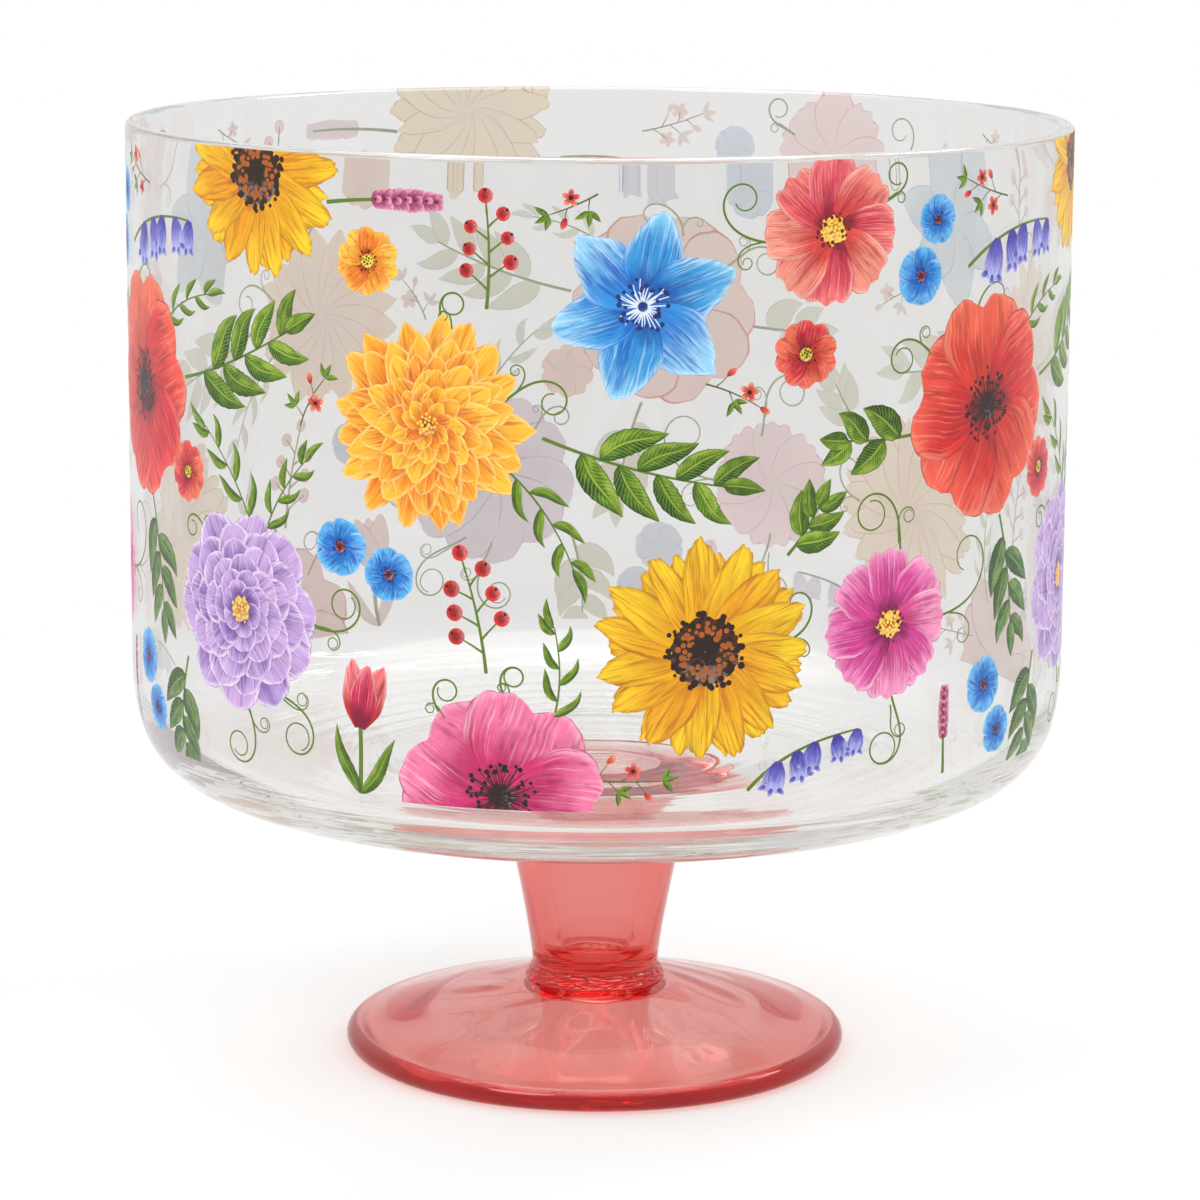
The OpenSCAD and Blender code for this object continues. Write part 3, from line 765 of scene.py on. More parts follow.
def camelliaSheets(row):
    r = motifSize["camellia"] * row[3]
    out = []
    for count, reach, width, layer, turn in ((10, 1.0, 0.66, 0.8, 0), (10, 0.86, 0.56, 2.1, 18),
                                             (9, 0.71, 0.5, 3.4, 6), (8, 0.56, 0.44, 4.7, 25),
                                             (7, 0.42, 0.36, 6.0, 9), (6, 0.29, 0.27, 7.3, 30)):
        out += petals(count, r * reach, (0.95, 1.0), r * width, (0.92, 1.08), (0.6, 2.3, 0.3), layer, turn, 3,
                      0.08, ragged=0.012)
    out += [place(discSheet(r * 0.12, 3.0, 5, 0.12), layer=8.4)]
    return out + dots(26, 0.1, r * 0.13, 0.42, 9.2, 4.0)


def margueriteSheets(row):
    r = motifSize["marguerite"] * row[3]
    out = petals(15, r, (0.84, 0.94), r, (0.28, 0.36), (0.5, 1.7, 0.3), 0.8, 12, 4, 0.08, ragged=0.03)
    out += petals(15, r, (0.92, 1.0), r, (0.3, 0.38), (0.52, 1.8, 0.3), 2.2, 0, 4, 0.08, ragged=0.03)
    out += [place(discSheet(r * 0.3, 3.0, 17, 0.05), layer=3.6)]
    out += dots(66, r * 0.22, r * 0.35, 0.66, 4.4, 5.0) + dots(56, r * 0.13, r * 0.25, 0.54, 5.2, 4.0)
    return out + dots(34, 0.2, r * 0.12, 0.45, 5.2, 5.0)


def clematisSheets(row):
    r = motifSize["clematis"] * row[3]
    out = petals(6, r, (0.95, 1.0), r, (0.62, 0.7), (0.46, 1.45, 0.16), 1.0, 0, 3, 0.06, ragged=0.03)
    return out + [place(discSheet(r * 0.09), layer=2.4)] + stamens(34, r * 0.05, r * 0.28, 0.36, 0.46, 3.2)


def cosmosSheets(row):
    r = motifSize["cosmos"] * row[3]
    shape = (0.66, 2.9, 0.16, 0.07, (-0.17, 0.17), 0.025)
    out = petals(8, r, (0.95, 1.0), r, (0.66, 0.74), shape, 1.0, 0, 3, 0.05)
    out += [place(discSheet(r * 0.17, 3.0, 9, 0.08), layer=2.4)]
    return out + dots(40, 0.2, r * 0.19, 0.42, 3.4, 4.0) + dots(26, r * 0.14, r * 0.24, 0.4, 4.4, 5.0)


# A small five-petalled flower with a bright eye and a ring of grains.
def smallSheets(radius, width, notch, eye):
    def make(row):
        r = radius * row[3]
        out = ringOf(5, lambda: petal(r * rng.uniform(0.95, 1.0), r * width, 0.62, 2.6, 0.16, notch,
                                      ragged=0.02), 1.0, 0, 3)
        out += [place(discSheet(r * eye), layer=2.4)] + dots(10, 0.1, r * eye * 0.8, 0.24, 3.2, 4.0)
        return out + stamens(14, r * eye * 0.8, r * eye * 1.75, 0.16, 0.22, 3.2)
    return make


# The stalk's middle at the share u of its length, and its lean in degrees there.
def alongStalk(length, bow, u):
    return length * u, bow * length * u * u, math.degrees(math.atan(2 * bow * u))


def tulipSheets(row):
    cup, l = motifSize["tulip"] * row[3], motifSize["tulipStalk"] * row[3]
    length = cup * 1.1
    x, z, _ = alongStalk(length, 0.1, 0.96)
    out = [place(stalkSheet(length, 0.1, 1.1, thin=0.9), layer=0.5)]
    for turn, share, layer in ((-15, 1.0, 1.2), (15, 1.0, 2.4), (0, 0.94, 3.6)):
        out += [place(petal(cup * share, cup * 0.46, 0.45, 1.5, 0.36, ragged=0.025), turn, x - 1, z, layer)]
    for turn in (-27, 27):
        out += [place(leafSheet(l * 0.4, cup * 0.21, 0.02 * turn / 9, -0.02), turn, 0, 0, 4.8)]
    return out


def sprigSheets(row):
    size, leaves, bow, broad = row[3], row[4], row[5], row[6]
    l, leafWidth = motifSize["sprig"] * size, motifSize["sprigWide"] * broad
    leafLength = motifSize["sprigLeaf"] * size ** 0.35
    out = [place(stalkSheet(l, bow, 0.8), layer=0.4)]
    for k in range(leaves):
        u = 0.22 + 0.72 * k / max(leaves - 1, 1)
        side = -1 if k % 2 == 0 else 1
        x, z, lean = alongStalk(l, bow, u)
        long = leafLength * (1.1 - 0.4 * u)
        wide = leafWidth * (1.1 - 0.4 * u)
        out += [place(leafSheet(long, wide, side * rng.uniform(0.04, 0.1), rng.uniform(-0.03, 0.03)),
                      lean + side * 38, x, z, 1.2 + 0.6 * (k % 2))]
    x, z, lean = alongStalk(l, bow, 1.0)
    return out + [place(leafSheet(leafLength * 0.6, leafWidth * 0.66, 0.03), lean, x - 0.5, z, 2.4)]


def lavenderSheets(row):
    l, bow = motifSize["lavender"] * row[3], row[4]
    out = [place(stalkSheet(l, bow, 0.9, 0.98), layer=0.4)]
    for k in range(13):
        u = 0.44 + 0.54 * k / 12
        x, z, lean = alongStalk(l, bow, u)
        swell = math.sin(math.pi * (0.18 + 0.72 * (u - 0.42) / 0.58))
        for side in (-1, 1):
            bud = petal(l * 0.115 * (0.65 + 0.5 * swell), l * 0.075, 0.55, 1.9, 0.35)
            out += [place(bud, lean + side * (48 - 10 * u) + rng.uniform(-7, 7), x, z, 1.2 + 0.5 * (k % 3))]
        if k % 2 == 0:
            out += [place(petal(l * 0.085, l * 0.06, 0.6, 2.4, 0.35), lean + rng.uniform(-14, 14), x, z, 3.4)]
            out += [place(discSheet(0.34, 5.0), 0, x + 0.7, z, 4.4)]
    return out


def bluebellSheets(row):
    l, bow, turn = motifSize["bluebell"] * row[3], row[4], row[2]
    out = [place(stalkSheet(l, bow, 0.9), layer=0.4)]
    for k in range(5):
        u = 0.35 + 0.65 * k / 4
        x, z, _ = alongStalk(l, bow, u)
        down = -90 - turn + (14 if k % 2 else -14)
        bell = motifSize["bell"] * row[3] * (1.15 - 0.35 * u)
        for lean, share, layer in ((-15, 1.0, 1.2), (15, 1.0, 1.8), (0, 0.94, 3.0)):
            out += [place(petal(bell * share, bell * 0.52, 0.5, 2.6, 0.42, ragged=0.01), down + lean * 0.8, x,
                          z, layer)]
        for lean in (-24, 0, 24):
            tipX, tipZ = turned(bell * 0.86, 0.0, down + lean * 0.62, x, z)
            out += [place(petal(bell * 0.28, bell * 0.17, 0.5, 1.6, 0.4), down + lean * 2.6, tipX, tipZ, 4.2)]
    return out


def berrySheets(row):
    l, bow = motifSize["berryTwig"] * row[3], row[4]
    out = [place(stalkSheet(l, bow, 0.8), layer=0.4)]
    for k in range(7):
        u = 0.2 + 0.8 * k / 6
        side = 0 if k == 6 else (-1 if k % 2 else 1)
        x, z, lean = alongStalk(l, bow, u)
        lean += side * 48
        twig = l * (0.34 - 0.14 * u)
        out += [place(stalkSheet(twig, side * 0.08, 0.55), lean, x, z, 0.8)]
        bx, bz = turned(twig, side * 0.08 * twig, lean, x, z)
        out += [place(discSheet(motifSize["berry"] * row[3] * rng.uniform(0.85, 1.0), 6.0), 0, bx, bz, 1.6)]
        out += [place(discSheet(0.34, 5.0), 0, *turned(1.2, 0.0, lean, bx, bz), 2.6)]
    return out


# Airy twig: side twigs end in tiny blossoms, dark leaflets or buds by turns.
def spraySheets(row):
    l, bow, forks = row[3], row[4], int(row[5])
    out = [place(stalkSheet(l, bow, 0.42, thin=0.6, part=7.0), layer=0.4)]
    for k in range(forks):
        u = 0.2 + 0.8 * k / (forks - 1)
        side = 0 if k == forks - 1 else (-1 if k % 2 else 1)
        x, z, lean = alongStalk(l, bow, u)
        lean += side * rng.uniform(34, 58)
        twig = l * (0.34 - 0.16 * u) * rng.uniform(0.75, 1.1)
        out += [place(stalkSheet(twig, side * 0.1, 0.3, part=7.0), lean, x, z, 0.8)]
        ex, ez = turned(twig, side * 0.1 * twig, lean, x, z)
        if (k + int(row[6])) % 3 == 0:
            out += [place(leafSheet(3.4, 1.3, 0.05), lean + turn, ex, ez, 1.4) for turn in (-50, 12, 60)]
        elif (k + int(row[6])) % 3 == 1:
            r = rng.uniform(1.9, 2.5)
            out += [place(petal(r, r * 0.62, 0.6, 2.0, 0.3), 72 * j + 20, ex, ez, 1.4 + 0.3 * (j % 2))
                    for j in range(5)]
            out += [place(discSheet(0.5, 5.0), 0, ex, ez, 2.6)]
        else:
            out += [place(petal(2.6, 1.5, 0.5, 1.8, 0.3), lean, ex - 0.2, ez, 1.4)]
    return out


# Tendril with a loose side curl.
def tendrilSheets(row):
    l, turns, sway = row[3], row[4], row[5]
    out = [place(curlSheet(l, turns, 0.62, sway), layer=0.4)]
    return out + [place(curlSheet(l * 0.45, -turns * 1.1, 0.42, -sway), -14 if turns > 0 else 14, l * 0.12, 0,
                        0.8)]


# Slender sprig: narrow bent leaves in pairs along a fine stalk.
def willowSheets(row):
    l, bow, leaves = row[3], row[4], int(row[5])
    out = [place(stalkSheet(l, bow, 0.55), layer=0.4)]
    for k in range(leaves):
        u = 0.18 + 0.76 * k / (leaves - 1)
        side = -1 if k % 2 == 0 else 1
        x, z, lean = alongStalk(l, bow, u)
        lean += side * 30
        out += [place(leafSheet(l * 0.36 * (1.1 - 0.4 * u), l * 0.085, side * 0.12, 0.03), lean, x, z,
                      1.2 + 0.6 * (k % 2))]
    x, z, lean = alongStalk(l, bow, 1.0)
    return out + [place(leafSheet(l * 0.3, l * 0.08, 0.1), lean, x - 0.4, z, 2.4)]


motifs = {
    "rose": (roseSheets, [[0.174, 0.597, 20, 1, 0], [0.66, 0.022, 70, 0.92, 1]]),
    "gerbera": (gerberaSheets, [[0.59, 0.597, 0, 1, 0]]),
    "camellia": (camelliaSheets, [[0.373, 0.273, 10, 1, 0]]),
    "marguerite": (margueriteSheets, [[0.851, 0.252, 0, 1, 0], [0.4, 0.964, 0, 0.92, 0]]),
    "clematis": (clematisSheets, [[0.79, 0.784, 15, 1, 0]]),
    "cosmos": (cosmosSheets, [[0.043, 0.273, 0, 1, 0], [0.972, 0.892, 0, 0.97, 1]]),
    "primula": (smallSheets(motifSize["primula"], 1.1, 0.12, 0.2),
                [[0.286, 0.475, 0, 0.94, 0], [0.53, 0.842, 0, 1, 1], [0.946, 0.705, 0, 1, 0]]),
    "forget_me_not": (smallSheets(motifSize["forget_me_not"], 1.08, 0.0, 0.19),
                      [[0.499, 0.396, 0, 1, 0], [0.551, 0.36, 30, 0.92, 0], [0.074, 0.813, 0, 1, 0],
                       [0.095, 0.899, 20, 0.85, 0], [0.178, 0.144, 0, 1, 0], [0.204, 0.065, 10, 0.85, 0]]),
    "tulip": (tulipSheets, [[0.517, 0.007, 82, 1, 0]]),
    "leaf_sprig": (sprigSheets,
                   [[0.282, 0.626, 12, 0.95, 8, 0.15, 0.9, 0], [0.069, 0.568, 186, 0.45, 4, -0.1, 1, 0],
                    [0.2, 0.417, -68, 0.65, 6, -0.15, 0.9, 1], [0.699, 0.583, -22, 1, 8, 0.12, 0.9, 0],
                    [0.282, 0.173, 250, 0.55, 6, 0.2, 0.9, 1], [0.93, 0.396, 46, 0.32, 5, 0.15, 0.75, 0]]),
    "lavender": (lavenderSheets, [[0.122, 0.014, 102, 0.73, -0.15, 0], [0.486, 0.928, 8, 1, -0.1, 0]]),
    "bluebell": (bluebellSheets, [[0.894, 0.029, 50, 0.76, -0.5, 0], [0.139, 0.82, 34, 1, -0.4, 0]]),
    "berry": (berrySheets, [[0.647, 0.216, 96, 1, 0.1, 0], [0.647, 0.777, 84, 0.9, 0.1, 0]]),
}


# Fine growth fills the clear glass between the motifs. Each piece grows from under a flower of the given
# reach, or from a free cell, and is kept where, past that flower, it touches no cell that another motif with
# a margin round it already covers. A row holds its maker, count, shortest and longest length, what follows
# the length in a place, and whether it starts from a free cell.
flowerReach = {"rose": 24.0, "gerbera": 22.0, "camellia": 21.0, "marguerite": 22.0, "clematis": 13.0,
               "cosmos": 16.0, "primula": 6.5, "forget_me_not": 5.5}
def curlValues(most):
    return lambda: (rng.choice([-1, 1]) * rng.uniform(0.9, most), rng.uniform(-0.6, 0.6), 0)


def bowValues(most, parts, tone=False):
    return lambda: (rng.uniform(-most, most), parts, *([rng.integers(3)] if tone else []), 0)


fillers = {
    "leaf_sprig": [(willowSheets, 5, (32, 42), bowValues(0.35, 8), False),
                   (willowSheets, 5, (20, 28), bowValues(0.4, 6), False),
                   (tendrilSheets, 8, (34, 46), curlValues(1.5), False),
                   (tendrilSheets, 8, (22, 30), curlValues(1.4), False)],
    "berry": [(spraySheets, 7, (32, 44), bowValues(0.3, 11, True), False),
              (spraySheets, 9, (20, 28), bowValues(0.35, 8, True), False),
              (spraySheets, 8, (12, 17), bowValues(0.35, 5, True), False),
              (spraySheets, 6, (28, 40), bowValues(0.3, 10, True), True),
              (spraySheets, 14, (14, 24), bowValues(0.35, 6, True), True),
              (spraySheets, 14, (9, 13), bowValues(0.35, 4, True), True)],
}
cell, fillMargin, motifMargin, fillTries = 1.0, 1.0, 1.1, 400
room = np.zeros((int(round(repeatWidth / cell)), int(printBand["high"] - printBand["low"])), bool)


# Points of some sheets on the wall, and their cells in one repeat.
def cellsUnder(sheets, x0, z0, degrees):
    places = [turned(s["x"], s["z"], degrees, x0, z0) for s in sheets]
    x = np.concatenate([p[0].ravel() for p in places])
    z = np.concatenate([p[1].ravel() for p in places])
    i = np.floor(x / cell).astype(int) % room.shape[0]
    return x, z, i, np.floor((z - printBand["low"]) / cell).astype(int)


# Marks the cells under some sheets and those within a margin of them.
def cover(sheets, x0, z0, degrees, margin):
    _, _, i, j = cellsUnder(sheets, x0, z0, degrees)
    reach = int(margin / cell)
    for di in range(-reach, reach + 1):
        for dj in range(-reach, reach + 1):
            inside = (j + dj >= 0) & (j + dj < room.shape[1]) & (di * di + dj * dj <= reach * reach + 1)
            room[(i[inside] + di) % room.shape[0], j[inside] + dj] = True


# Tries places at random and keeps those that fit.
def fillRoom(maker, count, size, more, isFree):
    anchors = [(*onWall(row[0], row[1]), reach * row[3])
               for kind, reach in flowerReach.items() for row in motifs[kind][1]]
    kept = []
    for _ in range(fillTries):
        if len(kept) == count:
            break
        ax, az, reach = anchors[rng.integers(len(anchors))]
        if isFree:
            i, j = rng.choice(np.argwhere(~room))
            ax, az, reach = (i + 0.5) * cell, printBand["low"] + (j + 0.5) * cell, 0.0
        way = rng.uniform(0, 360)
        x, z = turned(0.8 * reach, 0.0, way, ax, az)
        shareX, shareZ = x / repeatWidth, (z - printBand["low"]) / (printBand["high"] - printBand["low"])
        row = [shareX, shareZ, way + rng.uniform(-35, 35), rng.uniform(*size), *more()]
        sheets = maker(row)
        px, pz, i, j = cellsUnder(sheets, x, z, row[2])
        away = np.hypot(px - ax, pz - az) > 1.1 * reach + (reach > 0)
        if j.min() < 1 or j.max() > room.shape[1] - 2 or room[i[away], j[away]].any():
            continue
        cover(sheets, x, z, row[2], fillMargin)
        kept.append(row)
    return kept


for make, places in motifs.values():
    for row in places:
        x, z = onWall(row[0], row[1])
        cover(make(row), x, z, row[2], motifMargin)
filled = {kind: [(plan[0], fillRoom(*plan)) for plan in plans] for kind, plans in fillers.items()}
print("room filled", {kind: [len(rows) for _, rows in made] for kind, made in filled.items()})


# Enamels

enamelFinish = {"roughness": 0.38, "ior": 1.45, "grain": 900.0, "bump": 0.12, "grainDepth": 0.02,
                "ghost": 0.08}


# Eight-bit display colour to linear.
def pick(r, g, b):
    c = np.array([r, g, b]) / 255
    lin = np.where(c <= 0.04045, c / 12.92, ((c + 0.055) / 1.055) ** 2.4)
    return (*lin.tolist(), 1.0)


# Petal colours run root, middle, tip, stroke, rim.
enamels = {
    "rose": {
        "petal": [(112, 8, 18), (216, 34, 28), (236, 88, 66), (158, 12, 20), (246, 150, 124)],
        "second": [(96, 6, 44), (206, 40, 112), (240, 120, 168), (150, 12, 76), (250, 190, 214)],
        "centre": [(34, 20, 16), (84, 26, 28)], "thread": (44, 18, 22), "knob": (30, 18, 20),
        "strokes": 6, "amount": 0.55, "cup": 0.2, "rim": 0.5, "back": (238, 226, 222)},
    "gerbera": {
        "petal": [(150, 58, 2), (236, 132, 10), (252, 184, 44), (196, 84, 4), (255, 222, 130)],
        "centre": [(120, 56, 8), (214, 118, 14)], "thread": (250, 200, 74), "knob": (150, 70, 10),
        "strokes": 5, "amount": 0.7, "cup": 0.45, "rim": 0.75, "back": (242, 234, 224)},
    "camellia": {
        "petal": [(60, 30, 98), (128, 84, 172), (196, 162, 220), (76, 42, 122), (238, 224, 244)],
        "centre": [(196, 130, 40), (226, 168, 62)], "thread": (246, 206, 110), "knob": (150, 90, 30),
        "strokes": 6, "amount": 0.6, "cup": 0.75, "rim": 0.85, "back": (232, 228, 236)},
    "marguerite": {
        "petal": [(176, 84, 4), (240, 172, 8), (250, 202, 30), (196, 108, 6), (150, 76, 10)],
        "centre": [(36, 20, 10), (74, 38, 14)], "thread": (176, 92, 26), "knob": (44, 24, 14),
        "strokes": 5, "amount": 0.7, "cup": 0.25, "rim": 0.55, "back": (242, 236, 222)},
    "clematis": {
        "petal": [(16, 76, 168), (48, 148, 222), (150, 212, 244), (14, 92, 190), (214, 240, 252)],
        "centre": [(24, 50, 130), (44, 104, 190)], "thread": (228, 238, 250), "knob": (26, 48, 118),
        "strokes": 5, "amount": 0.75, "cup": 0.3, "rim": 0.6, "back": (226, 234, 240)},
    "cosmos": {
        "petal": [(134, 10, 82), (218, 58, 144), (244, 150, 196), (172, 22, 108), (252, 206, 226)],
        "second": [(140, 12, 30), (226, 66, 74), (244, 140, 128), (180, 28, 44), (252, 196, 184)],
        "centre": [(176, 92, 14), (236, 166, 30)], "thread": (252, 214, 96), "knob": (110, 34, 30),
        "strokes": 6, "amount": 0.65, "cup": 0.3, "rim": 0.6, "back": (240, 230, 232)},
    "primula": {
        "petal": [(130, 8, 24), (206, 30, 40), (238, 96, 80), (140, 10, 26), (248, 166, 146)],
        "second": [(176, 74, 4), (240, 140, 18), (252, 190, 66), (190, 88, 6), (255, 224, 140)],
        "centre": [(220, 190, 40), (250, 214, 70)], "thread": (60, 70, 20), "knob": (70, 20, 24),
        "strokes": 4, "amount": 0.6, "cup": 0.3, "rim": 0.5, "back": (240, 228, 224)},
    "forget_me_not": {
        "petal": [(10, 66, 160), (22, 124, 212), (92, 182, 238), (8, 72, 168), (180, 224, 250)],
        "centre": [(60, 24, 36), (206, 60, 56)], "thread": (30, 30, 60), "knob": (24, 34, 76),
        "strokes": 4, "amount": 0.65, "cup": 0.3, "rim": 0.55, "back": (222, 232, 240)},
    "tulip": {
        "petal": [(128, 10, 44), (204, 30, 62), (238, 112, 124), (140, 12, 44), (250, 186, 190)],
        "centre": [(60, 120, 50), (60, 120, 50)], "thread": (60, 110, 50), "knob": (60, 110, 50),
        "strokes": 6, "amount": 0.7, "cup": 0.3, "rim": 0.6, "back": (240, 228, 226)},
    "leaf_sprig": {
        "petal": [(60, 120, 50)] * 5,
        "centre": [(60, 120, 50), (60, 120, 50)], "thread": (60, 110, 50), "knob": (60, 110, 50),
        "strokes": 6, "amount": 0.5, "cup": 0.2, "rim": 0.5, "back": (232, 236, 226)},
    "lavender": {
        "petal": [(120, 30, 76), (188, 78, 126), (228, 150, 178), (118, 34, 76), (246, 206, 218)],
        "centre": [(120, 40, 80), (160, 70, 110)], "thread": (120, 40, 80), "knob": (96, 24, 60),
        "strokes": 4, "amount": 0.55, "cup": 0.5, "rim": 0.7, "back": (238, 230, 234)},
    "bluebell": {
        "petal": [(70, 56, 158), (104, 100, 200), (172, 176, 236), (58, 48, 150), (216, 220, 250)],
        "centre": [(80, 70, 160), (80, 70, 160)], "thread": (90, 80, 170), "knob": (90, 80, 170),
        "strokes": 5, "amount": 0.6, "cup": 0.4, "rim": 0.6, "back": (230, 232, 240)},
    "berry": {
        "petal": [(160, 30, 30), (222, 72, 56), (242, 142, 112), (150, 26, 26), (250, 190, 160)],
        "centre": [(150, 14, 26), (212, 50, 44)], "thread": (60, 40, 30), "knob": (40, 26, 22),
        "strokes": 4, "amount": 0.5, "cup": 0.3, "rim": 0.5, "back": (240, 228, 224)},
}
greens = {"leaf": [(34, 74, 16), (92, 132, 24), (160, 186, 62)],
          "second": [(34, 70, 40), (82, 116, 60), (140, 166, 96)], "stalk": (96, 124, 36),
          "twig": (96, 98, 52)}


def noiseAt(tree, x, y, z, detail=2.0, rough=0.5):
    spot = put(tree, "CombineXYZ", {0: x, 1: y, 2: z})
    values = {"Vector": spot, "Scale": 1.0, "Detail": detail, "Roughness": rough}
    return put(tree, "TexNoise", values).outputs[0]


# Last coat of a painted group: its colour with a small change of hue and value.
def tinted(tree, out, values):
    tree.links.new(put(tree, "HueSaturation", values).outputs[0], out[0])
    return tree


# Watercolour petal. t = u + washes + each petal's own shift picks root, middle and tip; strokes are noise
# drawn out along u; the cup is deeper along the middle; the rim is lit or inked, broken by the same washes.
def petalGroup():
    tree, inp, out = newGroup("paintedPetal", [
        ("Paint", "Vector"), ("Rim", "Float"), ("Root", "Color"), ("Middle", "Color"), ("Tip", "Color"),
        ("Stroke", "Color"), ("Rim Color", "Color"), ("Strokes", "Float"), ("Amount", "Float"),
        ("Cup", "Float"), ("Rim Amount", "Float")])
    u, v, seed = put(tree, "SeparateXYZ", {0: inp[0]}).outputs
    root, middle, tip, strokeColor, rimColor = inp[2], inp[3], inp[4], inp[5], inp[6]
    side = mathNode(tree, "ABSOLUTE", v)
    far = times(tree, seed, 37.0)
    wash = noiseAt(tree, times(tree, u, 2.6), times(tree, v, 1.5), far, 3.0, 0.6)
    shift = timesPlus(tree, seed, 0.4, mathNode(tree, "SUBTRACT", u, 0.5))
    t = timesPlus(tree, wash, 0.6, shift)
    color = mixColor(tree, ranged(tree, t, 0.0, 0.34), root, middle)
    color = mixColor(tree, ranged(tree, t, 0.4, 1.0), color, tip)
    along = times(tree, u, 1.7)
    across = times(tree, v, inp[7])
    stroke = ranged(tree, noiseAt(tree, along, across, far, 3.0, 0.65), 0.5, 0.64)
    stroke = times(tree, stroke, times(tree, inp[8], ranged(tree, u, 0.7, 1.0, 1.0, 0.6)))
    color = mixColor(tree, stroke, color, strokeColor)
    hair = noiseAt(tree, along, times(tree, across, 3.6), mathNode(tree, "ADD", far, 5.0), 2.0, 0.6)
    light = times(tree, ranged(tree, hair, 0.55, 0.66, 0.0, 0.5), ranged(tree, u, 0.2, 0.6))
    color = mixColor(tree, light, color, rimColor)
    dark = times(tree, ranged(tree, hair, 0.44, 0.34, 0.0, 0.7), ranged(tree, u, 0.95, 0.4))
    color = mixColor(tree, times(tree, dark, inp[8]), color, strokeColor)
    hollow = times(tree, ranged(tree, side, 0.75, 0.1), ranged(tree, u, 0.92, 0.3))
    color = mixColor(tree, times(tree, hollow, inp[9]), color, root)
    under = times(tree, ranged(tree, v, -0.5, -1.0, 0.0, 0.6), ranged(tree, u, 1.0, 0.6, 0.2, 1.0))
    color = mixColor(tree, times(tree, under, ranged(tree, inp[10], 0.5, 0.9, 1.0, 0.45)), color, strokeColor)
    edge = times(tree, ranged(tree, inp[1], 0.8, 0.97), ranged(tree, u, 0.3, 0.55))
    edge = times(tree, edge, times(tree, inp[10], ranged(tree, hair, 0.36, 0.54, 0.25, 1.0)))
    color = mixColor(tree, edge, color, rimColor)
    ink = times(tree, ranged(tree, inp[1], 0.965, 0.99), ranged(tree, wash, 0.42, 0.6, 0.1, 0.75))
    color = mixColor(tree, ink, color, strokeColor)
    return tinted(tree, out,
                  {"Hue": timesPlus(tree, seed, 0.016, 0.492), "Value": timesPlus(tree, wash, 0.5, 0.77),
                   "Color": color})


# Leaf: one half darker than the other, pale midrib, fine slanting veins |sin(180 (14 u - 2.6 |v|))| in dark
# and pale.
def leafGroup():
    tree, inp, out = newGroup("paintedLeaf", [("Paint", "Vector"), ("Dark", "Color"), ("Middle", "Color"),
                                              ("Light", "Color")])
    u, v, seed = put(tree, "SeparateXYZ", {0: inp[0]}).outputs
    dark, middle, light = inp[1], inp[2], inp[3]
    far = times(tree, seed, 29.0)
    side = mathNode(tree, "ABSOLUTE", v)
    wash = noiseAt(tree, times(tree, u, 4.0), times(tree, v, 1.6), far, 3.0)
    color = mixColor(tree, ranged(tree, timesPlus(tree, v, 0.24, wash), 0.26, 0.6), dark, middle)
    color = mixColor(tree, ranged(tree, timesPlus(tree, v, 0.2, wash), 0.5, 0.82, 0.0, 0.9), color, light)
    slant = timesPlus(tree, side, -2.6, times(tree, u, 14.0))
    slant = mathNode(tree, "ADD", slant, times(tree, wash, 0.7))
    vein = mathNode(tree, "ABSOLUTE", mathNode(tree, "SINE", times(tree, slant, math.pi)))
    for value, low, high, most, coat in ((vein, 0.35, 0.05, 0.6, dark), (vein, 0.8, 1.0, 0.4, light),
                                         (side, 0.22, 0.12, 0.5, dark), (side, 0.12, 0.05, 0.8, light),
                                         (side, 0.84, 0.98, 0.75, dark), (u, 0.14, 0.0, 0.6, dark)):
        color = mixColor(tree, ranged(tree, value, low, high, 0.0, most), color, coat)
    return tinted(tree, out, {"Value": timesPlus(tree, seed, 0.3, 0.85), "Color": color})


# Small round parts: inner colour to outer colour, with a lit upper side.
def speckGroup():
    tree, inp, out = newGroup("paintedSpeck", [("Paint", "Vector"), ("Inner", "Color"), ("Outer", "Color")])
    u, v, seed = put(tree, "SeparateXYZ", {0: inp[0]}).outputs
    turn = times(tree, v, math.pi)
    x = times(tree, times(tree, u, mathNode(tree, "COSINE", turn)), 6.0)
    y = times(tree, u, mathNode(tree, "SINE", turn))
    grain = noiseAt(tree, x, times(tree, y, 6.0), times(tree, seed, 23.0))
    outward = timesPlus(tree, grain, 0.6, mathNode(tree, "SUBTRACT", u, 0.3))
    color = mixColor(tree, ranged(tree, outward, 0.25, 0.95), inp[1], inp[2])
    shine = times(tree, ranged(tree, y, 0.0, 0.8, 0.0, 0.35), ranged(tree, grain, 0.35, 0.6))
    color = mixColor(tree, shine, color, mixColor(tree, 0.5, inp[2], (1, 1, 1, 1)))
    return tinted(tree, out, {"Value": timesPlus(tree, seed, 0.3, 0.85), "Color": color})


petalTree, leafTree, speckTree = petalGroup(), leafGroup(), speckGroup()


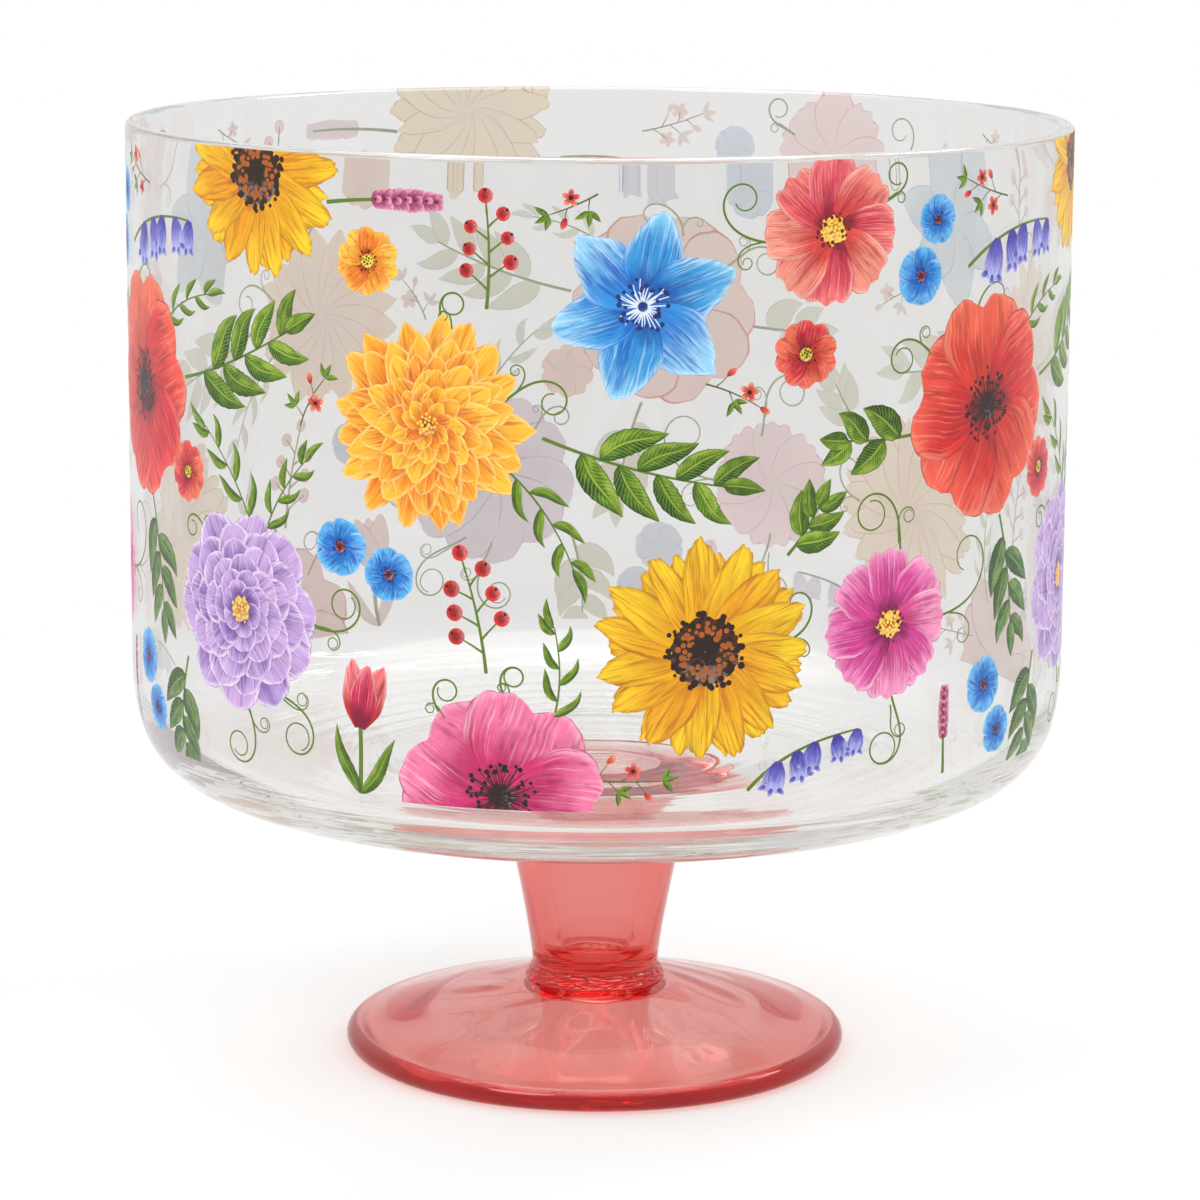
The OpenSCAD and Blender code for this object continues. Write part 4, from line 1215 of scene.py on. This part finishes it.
# Fired enamel: coloured outside, a pale underlay on the face against the glass with a thin coloured line at
# its rim.
def enamelMaterial(name, cfg):
    mat, tree = newMaterial(name)
    paint = attribute(tree, "paint").outputs["Vector"]
    part, inner, rim, tone = [attribute(tree, key).outputs["Fac"] for key in ("part", "inner", "rim", "tone")]

    def toned(first, second):
        return pick(*first) if second is None else mixColor(tree, tone, pick(*first), pick(*second))

    shades = [toned(a, b) for a, b in zip(cfg["petal"], cfg.get("second", [None] * 5))]
    leaves = [toned(a, b) for a, b in zip(greens["leaf"], greens["second"])]
    numbers = [float(cfg["strokes"]), cfg["amount"], cfg["cup"], cfg["rim"]]
    color = groupNode(tree, petalTree, [paint, rim, *shades, *numbers])
    leaf = groupNode(tree, leafTree, [paint, *leaves])
    speck = groupNode(tree, speckTree, [paint, pick(*cfg["centre"][0]), pick(*cfg["centre"][1])])
    others = {1: leaf, 2: pick(*greens["stalk"]), 3: speck, 4: pick(*cfg["thread"]), 5: pick(*cfg["knob"]),
              6: speck, 7: pick(*greens["twig"])}
    for number, shade in others.items():
        color = mixColor(tree, mathNode(tree, "COMPARE", part, float(number), 0.4), color, shade)
    ghost = mixColor(tree, enamelFinish["ghost"], pick(*cfg["back"]), color)
    line = times(tree, ranged(tree, rim, 0.95, 0.975), 0.6)
    hidden = times(tree, inner, mathNode(tree, "SUBTRACT", 1.0, line))
    color = mixColor(tree, hidden, color, ghost)
    coords = put(tree, "TexCoord").outputs["Object"]
    grain = put(tree, "TexNoise", {"Vector": coords, "Scale": enamelFinish["grain"], "Detail": 2.0})
    bump = put(tree, "Bump", {"Height": grain, "Strength": enamelFinish["bump"],
                              "Distance": enamelFinish["grainDepth"] * mm})
    body = put(tree, "BsdfPrincipled", {"Base Color": color, "Roughness": enamelFinish["roughness"],
                                        "IOR": enamelFinish["ior"], "Normal": bump})
    put(tree, "OutputMaterial", {"Surface": body})
    return mat


for kind, (make, places) in motifs.items():
    drawn = everyRepeat(places, make)
    for fillMake, rows in filled.get(kind, []):
        drawn += everyRepeat(rows, fillMake)
    piece = printPiece(kind + "Print", drawn)
    piece.data.materials.append(enamelMaterial(kind + "Enamel", enamels[kind]))
    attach(piece, "root")
    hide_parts(kind + "_decals")
    print(kind, len(piece.data.polygons), "faces")
print("print ready")


glassBounces = 96
rippleTree = rippleGroup()
clearGlass = glassMaterial("clearGlass", glass["clear"], rippleTree)
coralGlass = glassMaterial("coralGlass", glass["coral"], rippleTree)

for piece, node, slot, mat in ((bowlMesh(bowl), "bowl", "clear_glass", clearGlass),
                               (stemMesh(pedestal), "stem", "coral_glass", coralGlass),
                               (beadMesh(pedestal), "joint_bead", "coral_glass", coralGlass),
                               (footMesh(pedestal), "foot", "coral_glass", coralGlass)):
    piece.data.materials.append(mat)
    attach(piece, "root")
    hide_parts(node)
print("glass ready")
scene.cycles.max_bounces = scene.cycles.transmission_bounces = scene.cycles.glossy_bounces = glassBounces
scene.cycles.transparent_max_bounces = glassBounces
scene.cycles.diffuse_bounces = 3
scene.cycles.caustics_reflective = False
scene.cycles.caustics_refractive = False
scene.view_settings.view_transform = "Standard"
